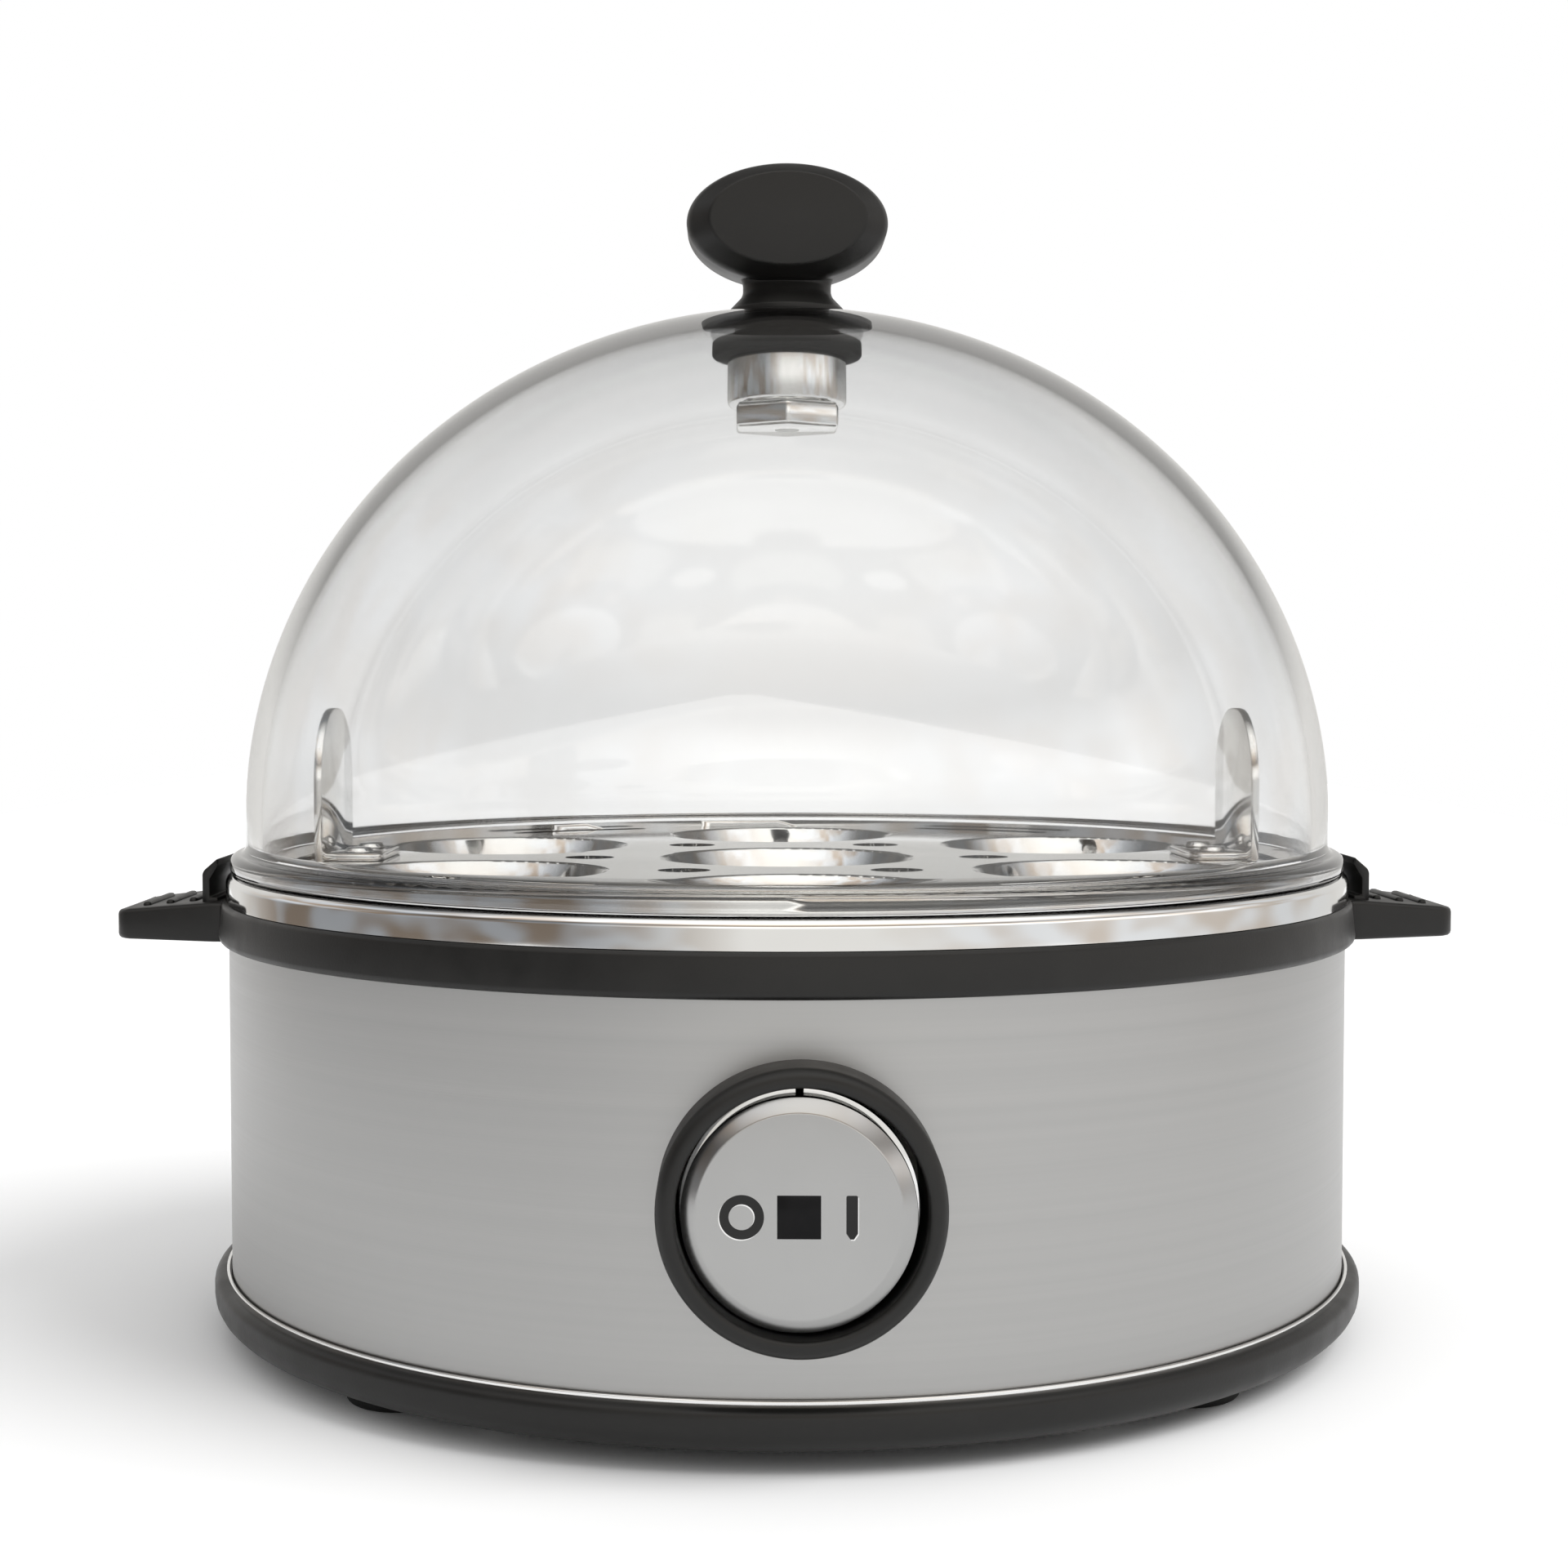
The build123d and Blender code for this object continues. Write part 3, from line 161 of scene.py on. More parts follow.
def repeated(mesh, places):
    """Copy a mesh to places given in millimetres, and drop the first one."""
    first = mesh.verts[:] + mesh.edges[:] + mesh.faces[:]
    for place in places:
        copy = bmesh.ops.duplicate(mesh, geom=first)["geom"]
        verts = [item for item in copy if isinstance(item, bmesh.types.BMVert)]
        bmesh.ops.translate(mesh, verts=verts, vec=Vector(place) * mm)
    bmesh.ops.delete(mesh, geom=first, context="VERTS")
    return mesh


def piece(name, mesh, material, body, stands_for=()):
    """Make a smooth object of a mesh. It rides on a body and stands for CAD nodes."""
    data = bpy.data.meshes.new(name)
    mesh.to_mesh(data)
    mesh.free()
    data.shade_smooth()
    data.set_sharp_from_angle(angle=math.radians(32))
    data.materials.append(material)
    made = bpy.data.objects.new(name, data)
    bpy.context.scene.collection.objects.link(made)
    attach(made, body)
    for node in stands_for:
        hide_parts(node)
    return made


rubber = grained("matt_rubber", (0.010, 0.010, 0.010), (0.018, 0.018, 0.017), (0.55, 0.75), 1800, 0.04,
                 {"Specular IOR Level": 0.15})
pad_radius, pad_height, pad_edge_round = 7.6, 2.8, 0.7
dish_radius, dish_depth, dish_slope = 4.0, 0.4, 0.6
stem_radius, cover_top = 2.5, 5.0
pad = [
    (0, dish_depth, 0), (dish_radius, dish_depth, 0), (dish_radius + dish_slope, 0, 0),
    (pad_radius, 0, pad_edge_round), (pad_radius, pad_height, 0), (stem_radius, pad_height, 0),
    (stem_radius, cover_top, 0), (0, cover_top, 0),
]
foot_ring_radius = 69.7
foot_at = foot_ring_radius * math.sqrt(0.5)
for side, x in (("left", -foot_at), ("right", foot_at)):
    for end, y in (("front", -foot_at), ("rear", foot_at)):
        pads = repeated(turned(pad, 64), [(x, y, 0)])
        piece(f"pad_{end}_{side}", pads, rubber, "base", [f"foot_{end}_{side}"])

# Bottom cover: black moulded disc with vents, screwed from below through the base ring into
# the collar's posts. It carries the cord clamp and the terminal block.
plastic = grained("satin_black_plastic", (0.0075, 0.0073, 0.0068), (0.0105, 0.0102, 0.0095), (0.36, 0.46),
                  2600, 0.012, {"Specular IOR Level": 0.34})


def copied(node):
    """Merged copy of a CAD node's mesh, with the triangles of each flat joined."""
    mesh = bmesh.new()
    mesh.from_mesh(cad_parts[node].data)
    bmesh.ops.remove_doubles(mesh, verts=mesh.verts, dist=0.001 * mm)
    bmesh.ops.dissolve_limit(mesh, angle_limit=math.radians(0.2), verts=mesh.verts, edges=mesh.edges)
    return mesh


def evened(made):
    """Let large faces set the normals of a piece, so that its flats stay flat."""
    made.modifiers.new("even_normals", "WEIGHTED_NORMAL").keep_sharp = True
    return made


def dress(material, *nodes):
    """Give CAD nodes that stay in sight or inside their material."""
    for node in nodes:
        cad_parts[node].data.materials.clear()
        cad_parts[node].data.materials.append(material)


evened(piece("vented_cover", copied("bottom_cover"), plastic, "base", ["bottom_cover"]))

zinc = grained("zinc_plate", (0.52, 0.52, 0.50), (0.66, 0.66, 0.64), (0.25, 0.45), 900, 0.01, {"Metallic": 1.0})
dress(zinc, "cover_screws", "cord_clamp_screws")

# Base ring: black moulded ring with a rounded foot and a groove that takes the wall's lower
# edge. The bottom cover lies in its recess, and the cover's screws pass through its ledge.
wall_outer, wall_inner, wall_low = 80.0, 79.4, 6.3
slip = 0.1
base_radius, base_low, base_top = 82.4, 2.5, 8.1
recess_radius, ledge_radius = 77.7, 69.1
ring = turned([
    (recess_radius, base_low, 0.4), (base_radius, base_low, 3.0), (base_radius, base_top, 1.3),
    (wall_outer + slip, base_top, 0), (wall_outer + slip, wall_low, 0), (wall_inner - slip, wall_low, 0),
    (wall_inner - slip, base_top, 0), (ledge_radius, base_top, 0), (ledge_radius, cover_top, 0),
    (recess_radius, cover_top, 0),
])
piece("base_moulding", ring, plastic, "base", ["base_ring"])

# Trim ring: thin polished steel wire, bent to a ring. It lies on the base ring, a hair away
# from the wall.
polished, place = new_material("polished_steel", {"Metallic": 1.0})
smudge = place.noise(45, 4.0).steps(0.35, 0.75)
vary(polished, {
    "Base Color": smudge.colours((0.80, 0.80, 0.79, 1), (0.74, 0.74, 0.73, 1)),
    "Roughness": 0.06 + smudge * 0.05,
    "Normal": place.noise(220).relief(0.002),
})
wire_inner, wire_outer, wire_top = 80.3, 80.75, 8.65
wire = turned([
    (wire_inner, base_top, 0), (wire_outer, base_top, 0), (wire_outer, wire_top, 0.15), (wire_inner, wire_top, 0.1),
])
piece("trim_wire", wire, polished, "base", ["base_trim_ring"])

# Wall: steel sheet rolled to a tube, brushed round the body, with a round hole in front for
# the switch and one behind for the cord's gland. Both edges are hidden in grooves.
wall_top = 57.2
switch_level, switch_hole = 31.4, 15.7
gland_level, gland_hole = 17.5, 6.1


def pierce(mesh, y, z, radius):
    """Cut a round hole through the wall, seen along Y, and close the cut between both faces."""
    def near(face):
        spot = face.calc_center_median() / mm
        return spot.y * y > 0 and abs(spot.x) < 1.6 * radius

    cuts = 40
    for cut in range(cuts):
        out = Matrix.Rotation(cut / cuts * 2 * math.pi, 3, "Y") @ Vector((1, 0, 0))
        faces = [face for face in mesh.faces if near(face)]
        edges = {edge for face in faces for edge in face.edges}
        verts = {vert for face in faces for vert in face.verts}
        spot = Vector((0, y, z)) * mm + out * radius * mm
        bmesh.ops.bisect_plane(mesh, geom=[*verts, *edges, *faces], dist=0.0001 * mm, plane_co=spot, plane_no=out)
    gone = []
    for face in mesh.faces:
        spot = face.calc_center_median() / mm
        if spot.y * y > 0 and math.hypot(spot.x, spot.z - z) < radius:
            gone.append(face)
    bmesh.ops.delete(mesh, geom=gone, context="FACES")
    bmesh.ops.bridge_loops(mesh, edges=[edge for edge in mesh.edges if edge.is_boundary])


brushed, place = new_material("brushed_steel", {"Metallic": 1.0})
hairline = place.stretch(4, 4, 6500).noise(1.0, 3.0)
streak = place.stretch(1.6, 1.6, 620).noise(1.0, 4.0).steps(0.3, 0.75)
vary(brushed, {
    "Base Color": streak.colours((0.395, 0.395, 0.391, 1), (0.428, 0.428, 0.423, 1)),
    "Roughness": 0.32 + hairline * 0.1 + streak * 0.05,
    "Normal": hairline.relief(0.006),
})
sheet = turned([
    (wall_outer, wall_low, 0), (wall_outer, wall_top, 0), (wall_inner, wall_top, 0), (wall_inner, wall_low, 0),
], 256)
pierce(sheet, -wall_outer, switch_level, switch_hole)
pierce(sheet, wall_outer, gland_level, gland_hole)
piece("wall_sheet", sheet, brushed, "base", ["body_shell"])

# Heater: cast aluminium plate under the pan with the sheathed tube pressed in its groove. The
# thermostat and the thermal fuse are strapped below it, and silicone leads join them.
cast = grained("cast_aluminium", (0.60, 0.61, 0.62), (0.72, 0.73, 0.74), (0.45, 0.6), 700, 0.05, {"Metallic": 1.0})
brass = grained("plain_brass", (0.62, 0.44, 0.16), (0.72, 0.54, 0.22), (0.25, 0.4), 600, 0.01, {"Metallic": 1.0})
ceramic = grained("fired_ceramic", (0.70, 0.66, 0.58), (0.78, 0.75, 0.68), (0.6, 0.75), 900, 0.03, {})
white = grained("white_moulding", (0.72, 0.71, 0.67), (0.78, 0.77, 0.73), (0.4, 0.5), 1500, 0.01, {})
red_lead = grained("red_silicone", (0.36, 0.03, 0.025), (0.44, 0.045, 0.035), (0.45, 0.6), 1200, 0.02, {})
white_lead = grained("white_silicone", (0.66, 0.66, 0.64), (0.74, 0.74, 0.72), (0.45, 0.6), 1200, 0.02, {})
dress(cast, "heater_plate")
dress(zinc, "heating_element", "element_pins", "thermostat_clamp", "clamp_screws", "fuse_clip")
dress(zinc, "pan_studs", "pan_nuts")
dress(brass, "thermostat_tabs", "switch_terminals", "contact_blade")
dress(ceramic, "thermostat")
dress(white, "thermal_fuse", "terminal_block", "cord_clamp", "switch_housing")
dress(red_lead, "lead_switch_thermostat", "lead_thermostat_element", "lead_block_switch")
dress(white_lead, "lead_element_fuse", "lead_fuse_block")

# Switch bezel: thick black moulded ring on the wall, its skirt pushed through the hole. The
# front edge is well rounded outside and only broken inside.
to_front = Matrix.Translation((0, -wall_outer * mm, switch_level * mm)) @ Matrix.Rotation(math.radians(90), 4, "X")
bezel_bore, bezel_skirt_radius, bezel_radius = 14.25, 15.3, 16.5
bezel_skirt_back, bezel_back, bezel_front = -11.0, -1.9, 7.0
bezel = turned([
    (bezel_bore, bezel_skirt_back, 0), (bezel_skirt_radius, bezel_skirt_back, 0), (bezel_skirt_radius, bezel_back, 0),
    (bezel_radius, bezel_back, 0), (bezel_radius, bezel_front, 1.5), (bezel_bore, bezel_front, 0.6),
], 128)
bmesh.ops.transform(bezel, matrix=to_front, verts=bezel.verts)
piece("switch_ring", bezel, plastic, "base", ["switch_bezel"])

# Rocker: round satin steel cap on a black carrier, with a polished split band behind it. Dark
# marks and a smoked window over a glow lamp are set in its face; a polished copy of each mark,
# shifted a little down and aside, paints a highlight along one side of its edge. It rests tipped to off.
pivot_depth, off_tilt = 77.0, -2.0
tipped = Matrix.Translation((0, -pivot_depth * mm, 0)) @ Matrix.Rotation(math.radians(off_tilt), 4, "Z")
tipped = tipped @ Matrix.Translation((0, pivot_depth * mm, 0))
on_rocker = tipped @ to_front
satin, place = new_material("satin_cap", {"Metallic": 1.0})
fine = place.stretch(300, 300, 5200).noise(1.0, 2.0)
cloud = place.noise(70, 3.0).steps(0.3, 0.7)
vary(satin, {
    "Base Color": cloud.colours((0.375, 0.375, 0.371, 1), (0.395, 0.395, 0.391, 1)),
    "Roughness": 0.20 + fine * 0.06,
    "Normal": fine.relief(0.0003),
})
cap_radius, face_radius = 13.3, 11.65
cap_back, cap_edge, cap_face = 5.3, 6.3, 7.4
cap = turned([
    (0, cap_back, 0), (cap_radius, cap_back, 0), (cap_radius, cap_edge, 0.12), (face_radius, cap_face, 0.5),
    (0, cap_face, 0),
], 160)
bmesh.ops.transform(cap, matrix=on_rocker, verts=cap.verts)
piece("rocker_face", cap, satin, "rocker", ["rocker_cap"])

band_inner, band_bend, band_outer = 12.2, 12.7, 13.6
band_back, band_edge, band_front = 1.0, 2.6, 2.73
slit_half = 0.3
band = turned([
    (band_inner, band_back, 0), (band_outer, band_back, 0), (band_outer, band_edge, 0), (band_bend, band_front, 0),
    (band_inner, band_front, 0),
], 180)
slit = []
for face in band.faces:
    spot = face.calc_center_median() / mm
    if abs(spot.x) < slit_half and spot.y > 0:
        slit.append(face)
bmesh.ops.delete(band, geom=slit, context="FACES")
bmesh.ops.holes_fill(band, edges=[edge for edge in band.edges if edge.is_boundary])
bmesh.ops.transform(band, matrix=on_rocker, verts=band.verts)
piece("rocker_bright_band", band, polished, "rocker", ["rocker_band"])
dress(plastic, "rocker_carrier")

ink = grained("mark_inlay", (0.016, 0.016, 0.016), (0.022, 0.022, 0.022), (0.4, 0.5), 2500, 0.01,
              {"Specular IOR Level": 0.2})


def plate(corners, height):
    """Flat outline of (x, y, round) corners in millimetres, made a block upwards from zero."""
    mesh = bmesh.new()
    points = [mesh.verts.new((x * mm, y * mm, 0)) for x, y, _ in corners]
    mesh.faces.new(points)
    for point, (_, _, bend) in zip(points, corners):
        if bend:
            round_corner(mesh, point, bend, 8)
    top = bmesh.ops.extrude_face_region(mesh, geom=mesh.faces[:])["geom"]
    verts = [item for item in top if isinstance(item, bmesh.types.BMVert)]
    bmesh.ops.translate(mesh, verts=verts, vec=(0, 0, height * mm))
    bmesh.ops.recalc_face_normals(mesh, faces=mesh.faces)
    return mesh


mark_bed = 7.3
off_inner, off_outer, off_x = 1.45, 2.5, -6.4
on_half, on_point, on_x = 0.65, 0.2, 5.9
on_shoulder, on_end = 1.8, 2.45
bar = [
    (-on_half, -on_shoulder, 0), (-on_point, -on_end, 0), (on_point, -on_end, 0), (on_half, -on_shoulder, 0),
    (on_half, on_end, 0.2), (-on_half, on_end, 0.2),
]
# Each mark is made twice: dark ink, and just below it a polished copy shifted down and aside. The copy's rim shows past
# the ink as a painted highlight on the mark's edge.
for name, material, slot, top, aside, down, stands_for in (
        ("mark", ink, "mark_ink", 7.44, 0, 0, ["rocker_marks"]),
        ("painted_glint", polished, "polished_steel", 7.42, 0.10, 0.12, [])):
    ring = turned([(off_inner, mark_bed, 0), (off_outer, mark_bed, 0), (off_outer, top, 0), (off_inner, top, 0)], 64)
    ring = repeated(ring, [(off_x - aside, -down, 0)])
    bmesh.ops.transform(ring, matrix=on_rocker, verts=ring.verts)
    piece(f"off_{name}", ring, material, "rocker", stands_for)
    stroke = repeated(plate(bar, top - mark_bed), [(on_x + aside, -down, mark_bed)])
    bmesh.ops.transform(stroke, matrix=on_rocker, verts=stroke.verts)
    piece(f"on_{name}", stroke, material, "rocker")

lens, place = new_material("smoked_lens", {"Specular IOR Level": 0.12})
haze = place.noise(260, 2.0).steps(0.3, 0.7)
vary(lens, {
    "Base Color": haze.colours((0.004, 0.004, 0.0045, 1), (0.007, 0.0065, 0.007, 1)),
    "Roughness": 0.14 + haze * 0.08,
})
window_side, window_depth, window_edge = 4.9, 0.3, 0.05
pane = bmesh.new()
bmesh.ops.create_cube(pane, size=1.0)
bmesh.ops.scale(pane, verts=pane.verts, vec=Vector((window_side, window_side, window_depth)) * mm)
bmesh.ops.bevel(pane, geom=pane.edges[:], affect="EDGES", offset=window_edge * mm, segments=2, profile=0.5, material=-1)
bmesh.ops.translate(pane, verts=pane.verts, vec=(0, 0, mark_bed * mm))
bmesh.ops.transform(pane, verts=pane.verts, matrix=on_rocker)
piece("lamp_pane", pane, lens, "rocker", ["lamp_window"])
glow = grained("lamp_bulb", (0.55, 0.36, 0.26), (0.65, 0.45, 0.34), (0.15, 0.25), 500, 0.005,
               {"Transmission Weight": 0.5})
dress(glow, "indicator_lamp")

# Collar: black moulded ring over the wall's upper edge, with a land for the pan, four screw posts
# inside, two flat ears to carry the body by and a thin hood on each that stands beside the lid.
collar_low, collar_top = 54.7, 60.2
collar_radius, collar_top_radius = 81.5, 80.9
land_inner, land_outer, land_low, land_top = 71.0, 79.5, 58.0, 62.2
collar_lip_inner, collar_lip_low = 77.6, 53.0
collar = turned([
    (wall_outer + slip, collar_low, 0.2), (collar_radius, collar_low, 0.8), (collar_top_radius, collar_top, 0.8),
    (land_outer, collar_top, 0), (land_outer, land_top, 0), (land_inner, land_top, 0), (land_inner, land_low, 0),
    (collar_lip_inner, land_low, 0), (collar_lip_inner, collar_lip_low, 0), (wall_inner - slip, collar_lip_low, 0),
    (wall_inner - slip, wall_top, 0), (wall_outer + slip, wall_top, 0),
])
piece("collar_moulding", collar, plastic, "base", ["collar_ring"])
post_radius, post_top, post_ring_radius = 3.8, 60.0, 73.7
post = turned([(0, base_top, 0), (post_radius, base_top, 0), (post_radius, post_top, 0), (0, post_top, 0)], 40)
first_spot = Vector((post_ring_radius, 0, 0))
spots = [Matrix.Rotation(math.radians(angle), 3, "Z") @ first_spot for angle in (60, 120, 240, 300)]
piece("collar_posts", repeated(post, spots), plastic, "base")


def mirrored(mesh):
    """Add the mirror image at -X."""
    bmesh.ops.mirror(mesh, geom=mesh.verts[:] + mesh.edges[:] + mesh.faces[:], axis="X", merge_dist=-1)
    bmesh.ops.recalc_face_normals(mesh, faces=mesh.faces)
    return mesh


def softened(mesh, width, segments=3):
    """Round every edge that turns by more than 40 degrees."""
    sharp = [edge for edge in mesh.edges if edge.is_manifold and edge.calc_face_angle() > math.radians(40)]
    bmesh.ops.bevel(mesh, geom=sharp, affect="EDGES", offset=width * mm, segments=segments, profile=0.5, material=-1)
    return mesh


ear_tip, ear_tip_half, ear_root_half, ear_flare = 95.5, 11.0, 14.0, 0.2
ear_length = ear_tip - collar_radius
ear_low, ear_high, nose_rise, ear_fall = 54.1, 59.7, 0.2, 1.3
ear = plate([
    (land_outer, -ear_root_half - ear_flare, 0), (collar_radius, -ear_root_half, 0), (ear_tip, -ear_tip_half, 2.5),
    (ear_tip, ear_tip_half, 2.5), (collar_radius, ear_root_half, 0), (land_outer, ear_root_half + ear_flare, 0),
], 1)
for vert in ear.verts:
    along = max(0, vert.co.x / mm - collar_radius) / ear_length
    low, high = ear_low + nose_rise * along, ear_high - ear_fall * along
    vert.co.z = (high if vert.co.z else low) * mm
softened(ear, 0.7)
piece("collar_ears", mirrored(ear), plastic, "base")

rib_half, rib_half_length, rib_height, rib_sunk = 0.6, 7.5, 1.2, 0.7
rib = plate([(x * rib_half, y * rib_half_length, 0.5) for x, y in ((-1, -1), (1, -1), (1, 1), (-1, 1))], rib_height)
softened(rib, 0.4)
rib_bed = ear_high - ear_fall - rib_sunk
ribs = repeated(rib, [(ear_tip - inset, 0, rib_bed + inset / ear_length * ear_fall) for inset in (3.6, 6.9, 10.2)])
piece("ear_ribs", mirrored(ribs), plastic, "base")

hood_inner, hood_outer, hood_tip, hood_wall = 81.0, 83.2, 80.9, 1.1
hood_foot, hood_shoulder, hood_top, hood_half = 59.0, 63.8, 65.8, 11.0
hood = plate([
    (hood_inner, hood_foot, 0), (hood_outer, hood_foot, 0), (hood_outer, hood_shoulder, 1.2), (hood_tip, hood_top, 0.2),
    (hood_tip, hood_top - hood_wall, 0.2), (hood_outer - hood_wall, hood_shoulder - hood_wall, 0),
    (hood_outer - hood_wall, collar_top, 0), (hood_inner, collar_top, 0),
], 2 * hood_half)
bmesh.ops.translate(hood, verts=hood.verts, vec=(0, 0, -hood_half * mm))
bmesh.ops.transform(hood, verts=hood.verts, matrix=Matrix.Rotation(math.radians(90), 4, "X"))
softened(hood, 0.25, 2)
piece("lid_hoods", mirrored(hood), plastic, "base")
dress(rubber, "rim_gasket")

# Boiling pan: drawn from bright steel, with a turned-down skirt that shows as the polished band
# above the collar, a flat rim for tray and lid and a sloping well for the water.
rim_radius, rim_top, pan_skirt_low = 80.4, 64.0, 60.25
well_radius, well_floor_radius, well_floor_level = 69.5, 63.0, 44.0
pan_sheet, pan_slope_sheet = 0.8, 0.84
pan = turned([
    (rim_radius, pan_skirt_low, 0), (rim_radius, rim_top, 1.2), (well_radius, rim_top, 2.5),
    (well_floor_radius, well_floor_level, 8.0), (0, well_floor_level, 0), (0, well_floor_level - pan_sheet, 0),
    (well_floor_radius + pan_slope_sheet, well_floor_level - pan_sheet, 8.8),
    (well_radius + pan_slope_sheet, rim_top - pan_sheet, 1.7),
    (rim_radius - pan_sheet, rim_top - pan_sheet, 0.4), (rim_radius - pan_sheet, pan_skirt_low, 0),
])
piece("pan_body", pan, polished, "base", ["boiling_pan"])

# Egg tray: pressed from bright sheet, with a low rim, seven dished seats, steam slots between
# them and two upright tabs, each riveted down by a foot, to lift it out by.
evened(piece("tray_pressing", copied("egg_tray"), polished, "egg_tray", ["egg_tray"]))
tab_half, tab_low, tab_top, tab_sheet, tab_at = 12.0, 65.0, 87.0, 1.2, 66.0
tab_foot_inner, tab_foot_outer, tab_foot_half = 58.0, 66.6, 9.0
for side, sign in (("left", -1), ("right", 1)):
    tab = plate([
        (-tab_half, tab_low, 0), (tab_half, tab_low, 0), (tab_half, tab_top, 10.5), (-tab_half, tab_top, 10.5),
    ], tab_sheet)
    softened(tab, 0.3, 2)
    upright = Matrix(((0, 0, sign, sign * tab_at * mm), (1, 0, 0, 0), (0, 1, 0, 0), (0, 0, 0, 1)))
    bmesh.ops.transform(tab, verts=tab.verts, matrix=upright)
    bmesh.ops.recalc_face_normals(tab, faces=tab.faces)
    piece(f"lift_tab_{side}", tab, polished, "egg_tray", [f"tray_handle_{side}"])
    foot = plate([
        (tab_foot_inner, -tab_foot_half, 2.0), (tab_foot_outer, -tab_foot_half, 0), (tab_foot_outer, tab_foot_half, 0),
        (tab_foot_inner, tab_foot_half, 2.0),
    ], tab_sheet)
    softened(foot, 0.3, 2)
    flat = Matrix.Translation((0, 0, tab_low * mm)) @ Matrix.Diagonal((sign, 1, 1, 1))
    bmesh.ops.transform(foot, verts=foot.verts, matrix=flat)
    bmesh.ops.recalc_face_normals(foot, faces=foot.faces)
    piece(f"lift_tab_foot_{side}", foot, polished, "egg_tray")

shank_radius, head_radius, rivet_crown_radius = 1.3, 2.2, 1.7
rivet_low, tray_under, rivet_crown_low, rivet_top = 63.2, 64.0, 66.9, 67.0
rivet = turned([
    (0, rivet_low, 0), (head_radius, rivet_low, 0.2), (head_radius, tray_under, 0), (shank_radius, tray_under, 0),
    (shank_radius, tab_low + tab_sheet, 0), (head_radius, tab_low + tab_sheet, 0.1),
    (rivet_crown_radius, rivet_crown_low, 0.4), (0, rivet_top, 0),
], 32)
spots = [(x, y, 0) for x in (-62.0, 62.0) for y in (-5.0, 5.0)]
piece("tab_rivets", repeated(rivet, spots), polished, "egg_tray", ["tray_rivets"])

# Lid: clear moulded dome of even wall, with a rolled lip that rests on the pan's rim and a small
# flat at the crown, drilled for the knob's stud.
clear, place = new_material("clear_plastic", {"IOR": 1.49, "Transmission Weight": 1.0})
mist = place.noise(30, 3.0).steps(0.35, 0.75)
vary(clear, {
    "Base Color": mist.colours((0.922, 0.924, 0.922, 1), (0.894, 0.896, 0.894, 1)),
    "Roughness": 0.012 + mist * 0.02,
})
dome_radius, dome_rise, dome_wall, spring_level = 77.6, 73.2, 2.2, 71.1
rest_level, lip_radius, lip_top = 64.06, 79.8, 66.8
flat_radius, flat_level, under_radius, under_level, stud_hole = 8.4, 143.83, 11.6, 141.34, 1.85


def arc(radius, rise, stop):
    """Quarter of an upright oval from its foot up, as corners, down to this radius."""
    turns = [step / 64 * math.pi / 2 for step in range(65)]
    points = [(radius * math.cos(turn), spring_level + rise * math.sin(turn), 0) for turn in turns]
    return [point for point in points if point[0] > stop]


profile = [(lip_radius, rest_level, 0.8), (lip_radius, lip_top, 1.3), (dome_radius, lip_top, 1.4)]
profile += arc(dome_radius, dome_rise, flat_radius + 0.2)
profile += [(flat_radius, flat_level, 0), (stud_hole, flat_level, 0)]
profile += [(stud_hole, under_level, 0), (under_radius, under_level, 0)]
profile += reversed(arc(dome_radius - dome_wall, dome_rise - dome_wall, under_radius + 0.1))
profile += [(dome_radius - dome_wall, rest_level, 0.6)]
piece("dome_shell", turned(profile), clear, "lid", ["lid_dome"])

# Knob fixing: a zinc-plated stud from the knob through the crown, a black rubber washer under it
# and a polished nut with a hexagon end.
washer_radius, washer_low, washer_top = 11.0, 138.3, 141.28
washer = turned([
    (stud_hole, washer_low, 0), (washer_radius, washer_low, 0.7), (washer_radius, washer_top, 0.5),
    (stud_hole, washer_top, 0),
], 96)
piece("crown_washer", washer, rubber, "lid", ["knob_seal_washer"])
nut_bore, nut_radius, nut_low = 1.8, 8.7, 130.9
nut = turned([
    (nut_bore, nut_low, 0), (nut_radius, nut_low, 0.9), (nut_radius, washer_low, 0.5), (nut_bore, washer_low, 0),
], 96)
piece("crown_nut", nut, polished, "lid", ["knob_nut"])
hexagon_radius, hexagon_height, hexagon_level = 8.5, 3.4, 129.25
hexagon = bmesh.new()
bmesh.ops.create_cone(hexagon, cap_ends=True, segments=6, radius1=hexagon_radius * mm, radius2=hexagon_radius * mm,
                      depth=hexagon_height * mm)
bmesh.ops.translate(hexagon, verts=hexagon.verts, vec=(0, 0, hexagon_level * mm))
softened(hexagon, 0.5, 3)
piece("nut_hexagon", hexagon, polished, "lid")
dress(zinc, "knob_stud")

# Knob: black moulded oval paddle with flat faces and a broad sloping edge, on a waisted neck that
# is narrower from front to back. The stud holds it down on the crown.
half_width, half_height, half_depth = 14.5, 8.5, 8.0
face_half_width, edge_half_depth, paddle_level = 11.2, 4.6, 156.62
paddle = turned([
    (0, -half_depth, 0), (face_half_width, -half_depth, 0.8), (half_width, -edge_half_depth, 3.0),
    (half_width, edge_half_depth, 3.0), (face_half_width, half_depth, 0.8), (0, half_depth, 0),
], 128)
upright = Matrix.Translation((0, 0, paddle_level * mm)) @ Matrix.Rotation(math.radians(90), 4, "X")
upright = upright @ Matrix.Diagonal((1, half_height / half_width, 1, 1))
bmesh.ops.transform(paddle, verts=paddle.verts, matrix=upright)
piece("knob_paddle", paddle, plastic, "lid", ["lid_knob"])
neck_foot_radius, waist_radius, flare_radius = 8.3, 6.4, 7.6
neck_foot, neck_slope, waist_low, waist_high, flare_level, neck_top = 143.9, 144.67, 146.67, 148.27, 151.2, 154.0
neck_narrowing, narrowing_height = 0.28, 3.6
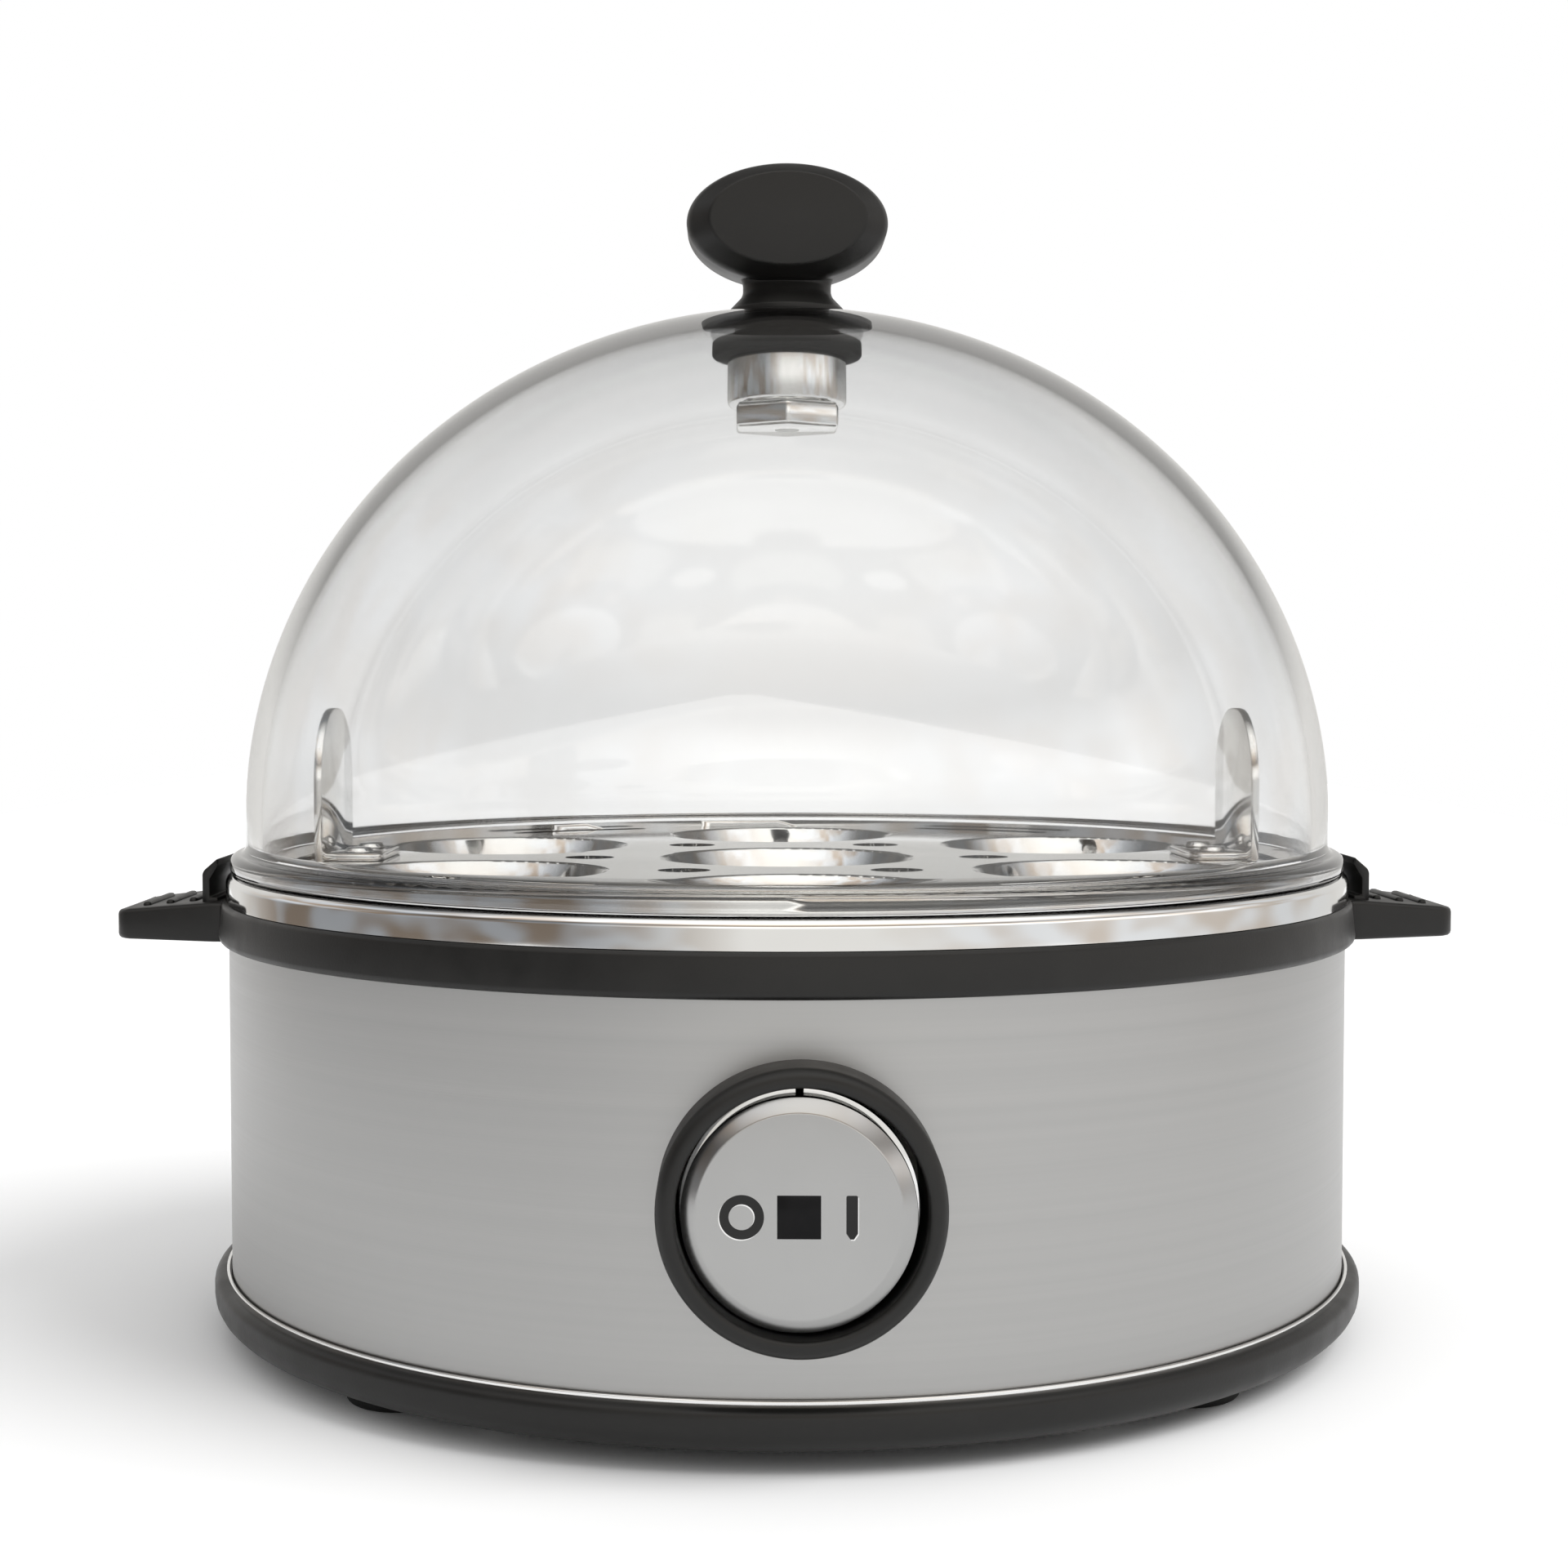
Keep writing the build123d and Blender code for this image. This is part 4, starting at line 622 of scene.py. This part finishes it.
neck = turned([
    (0, neck_foot, 0), (neck_foot_radius, neck_foot, 0.2), (neck_foot_radius, neck_slope, 0.4),
    (waist_radius, waist_low, 1.6), (waist_radius, waist_high, 1.6), (flare_radius, flare_level, 0), (0, neck_top, 0),
], 96)
for vert in neck.verts:
    vert.co.y *= 1 - neck_narrowing * min(1, max(0, (vert.co.z / mm - neck_slope) / narrowing_height))
piece("knob_neck", neck, plastic, "lid")

# Cord gland: rubber bush in the wall's rear hole, with a flange on both sides of the sheet, a
# tapered nose outside and a bore for the mains cord.
cord_bore, flange_radius, gland_neck, nose_radius = 3.6, 8.0, 6.0, 5.8
inner_end, inner_flange, outer_flange, nose_root, nose_end = -5.0, -0.7, 0.05, 3.0, 7.5
bush = turned([
    (cord_bore, inner_end, 0), (flange_radius, inner_end, 0.6), (flange_radius, inner_flange, 0),
    (gland_neck, inner_flange, 0), (gland_neck, outer_flange, 0), (flange_radius, outer_flange, 0.3),
    (flange_radius, nose_root, 1.0), (nose_radius, nose_end, 0.9), (cord_bore, nose_end, 0.4),
], 96)
to_rear = Matrix.Translation((0, wall_outer * mm, gland_level * mm)) @ Matrix.Rotation(math.radians(-90), 4, "X")
bmesh.ops.transform(bush, verts=bush.verts, matrix=to_rear)
piece("gland_bush", bush, rubber, "base", ["cord_gland"])

# Floor: a pale strip of paper that the cooker stands on. It runs far back and ends a little way in
# front and at both sides, so that the polished rim mirrors the room there.
paper, place = new_material("pale_paper", {"Roughness": 0.9})
vary(paper, {"Base Color": place.noise(6.0, 2.0).colours((0.97, 0.97, 0.97, 1), (0.98, 0.98, 0.98, 1))})
floor_half_length, floor_half_width, floor_front, floor_drop = 40.0, 0.5, 0.45, 0.1
ground = bmesh.new()
bmesh.ops.create_grid(ground, x_segments=1, y_segments=1, size=floor_half_length)
bmesh.ops.scale(ground, verts=ground.verts, vec=(floor_half_width / floor_half_length, 1, 1))
bmesh.ops.translate(ground, verts=ground.verts, vec=(0, floor_half_length - floor_front, -floor_drop * mm))
data = bpy.data.meshes.new("floor")
ground.to_mesh(data)
ground.free()
data.materials.append(paper)
floor = bpy.data.objects.new("floor", data)
bpy.context.scene.collection.objects.link(floor)

# Light: a soft pale room all round and a wide soft sun from the right. The camera sees plain white
# behind the object. Mirroring pieces see a room with tinted patches at both sides, darker at the
# left, a bright window and overhead light in front and a dark upper part behind.
world = bpy.data.worlds.new("room")
world.use_nodes = True
bpy.context.scene.world = world
tree = world.node_tree
look = Signal(tree, tree.nodes.new("ShaderNodeTexCoord").outputs["Generated"])
x, y, z = [look.node("ShaderNodeSeparateXYZ", {}, {"Vector": look}, axis) for axis in range(3)]
ray = tree.nodes.new("ShaderNodeLightPath")
camera_ray, glossy, through, mirrorings, scatterings, crossings = [Signal(tree, ray.outputs[name]) for name in (
    "Is Camera Ray", "Is Glossy Ray", "Is Transmission Ray", "Glossy Depth", "Diffuse Depth", "Transmission Depth")]
near = 1 - y.steps(0.45, 0.8)
left = (0 - x).steps(0.15, 0.7) * near
right = x.steps(0.25, 0.6) * near
back = y.steps(-0.25, 0.35)
patches = look.noise(4.5, 1.0).steps(0.4, 0.6)
shaded = patches.colours((0.62, 0.50, 0.40, 1), (0.98, 1.02, 1.08, 1))
warm = z.steps(0.28, 0.45) * (1 - z.steps(0.55, 0.8)) * (1 - back)
plain = warm.colours((1.0, 0.985, 0.955, 1), (0.86, 0.72, 0.58, 1))
tint = (left + 0.6 * right).colours(plain, shaded)
window = z.steps(0.08, 0.18) * (1 - z.steps(0.3, 0.42)) * (1 - left)
overhead = z.steps(0.45, 0.72)
ahead = (0.95 - 0.6 * left) * (1 - 0.5 * z.steps(0.22, 0.4)) + 1.3 * overhead + 0.9 * window
dark = look.math("MAXIMUM", z.steps(0.55, 0.72), z.steps(0.06, 0.24) * crossings.steps(0, 1))
behind = 0.80 - 0.46 * left * (1 - z.steps(0.03, 0.15)) - 0.68 * dark
level = ahead * (1 - back) + behind * back
mirrored_room = look.node("ShaderNodeVectorMath", {"operation": "SCALE"}, {0: tint, "Scale": level})
indirect = (mirrorings + scatterings).steps(0, 1)
seen = look.math("MAXIMUM", camera_ray, through * (1 - indirect))
by_mirror = look.math("MAXIMUM", glossy, through * indirect * crossings.steps(2, 3))
view = seen.colours(by_mirror.colours(0.82 - 0.27 * through, mirrored_room), (1, 1, 1, 1))
tree.links.new(view.socket, tree.nodes["Background"].inputs["Color"])
world.cycles.sampling_method = "NONE"

sun = bpy.data.lights.new("key_window", "SUN")
sun.energy = 1.75
sun.angle = math.radians(38)
key = bpy.data.objects.new("key_window", sun)
key.rotation_euler = Vector((-0.75, 0.28, -0.85)).to_track_quat("-Z", "Y").to_euler()
key.visible_glossy = False
key.visible_transmission = False
bpy.context.scene.collection.objects.link(key)
bpy.context.scene.view_settings.view_transform = "Standard"

# Camera: level with the dome, close in front and a little left of the switch's axis. It looks
# slightly down, as the photograph does.
lens_view = bpy.data.cameras.new("camera")
lens_view.sensor_width = 36.0
lens_view.lens = 54.77
lens_view.clip_start = 0.01
eye = bpy.data.objects.new("camera", lens_view)
eye.location = (-0.0069, -0.3499, 0.0913)
eye.rotation_euler = (math.radians(90 - 2.55), 0, math.radians(-1.06))
bpy.context.scene.collection.objects.link(eye)
bpy.context.scene.camera = eye
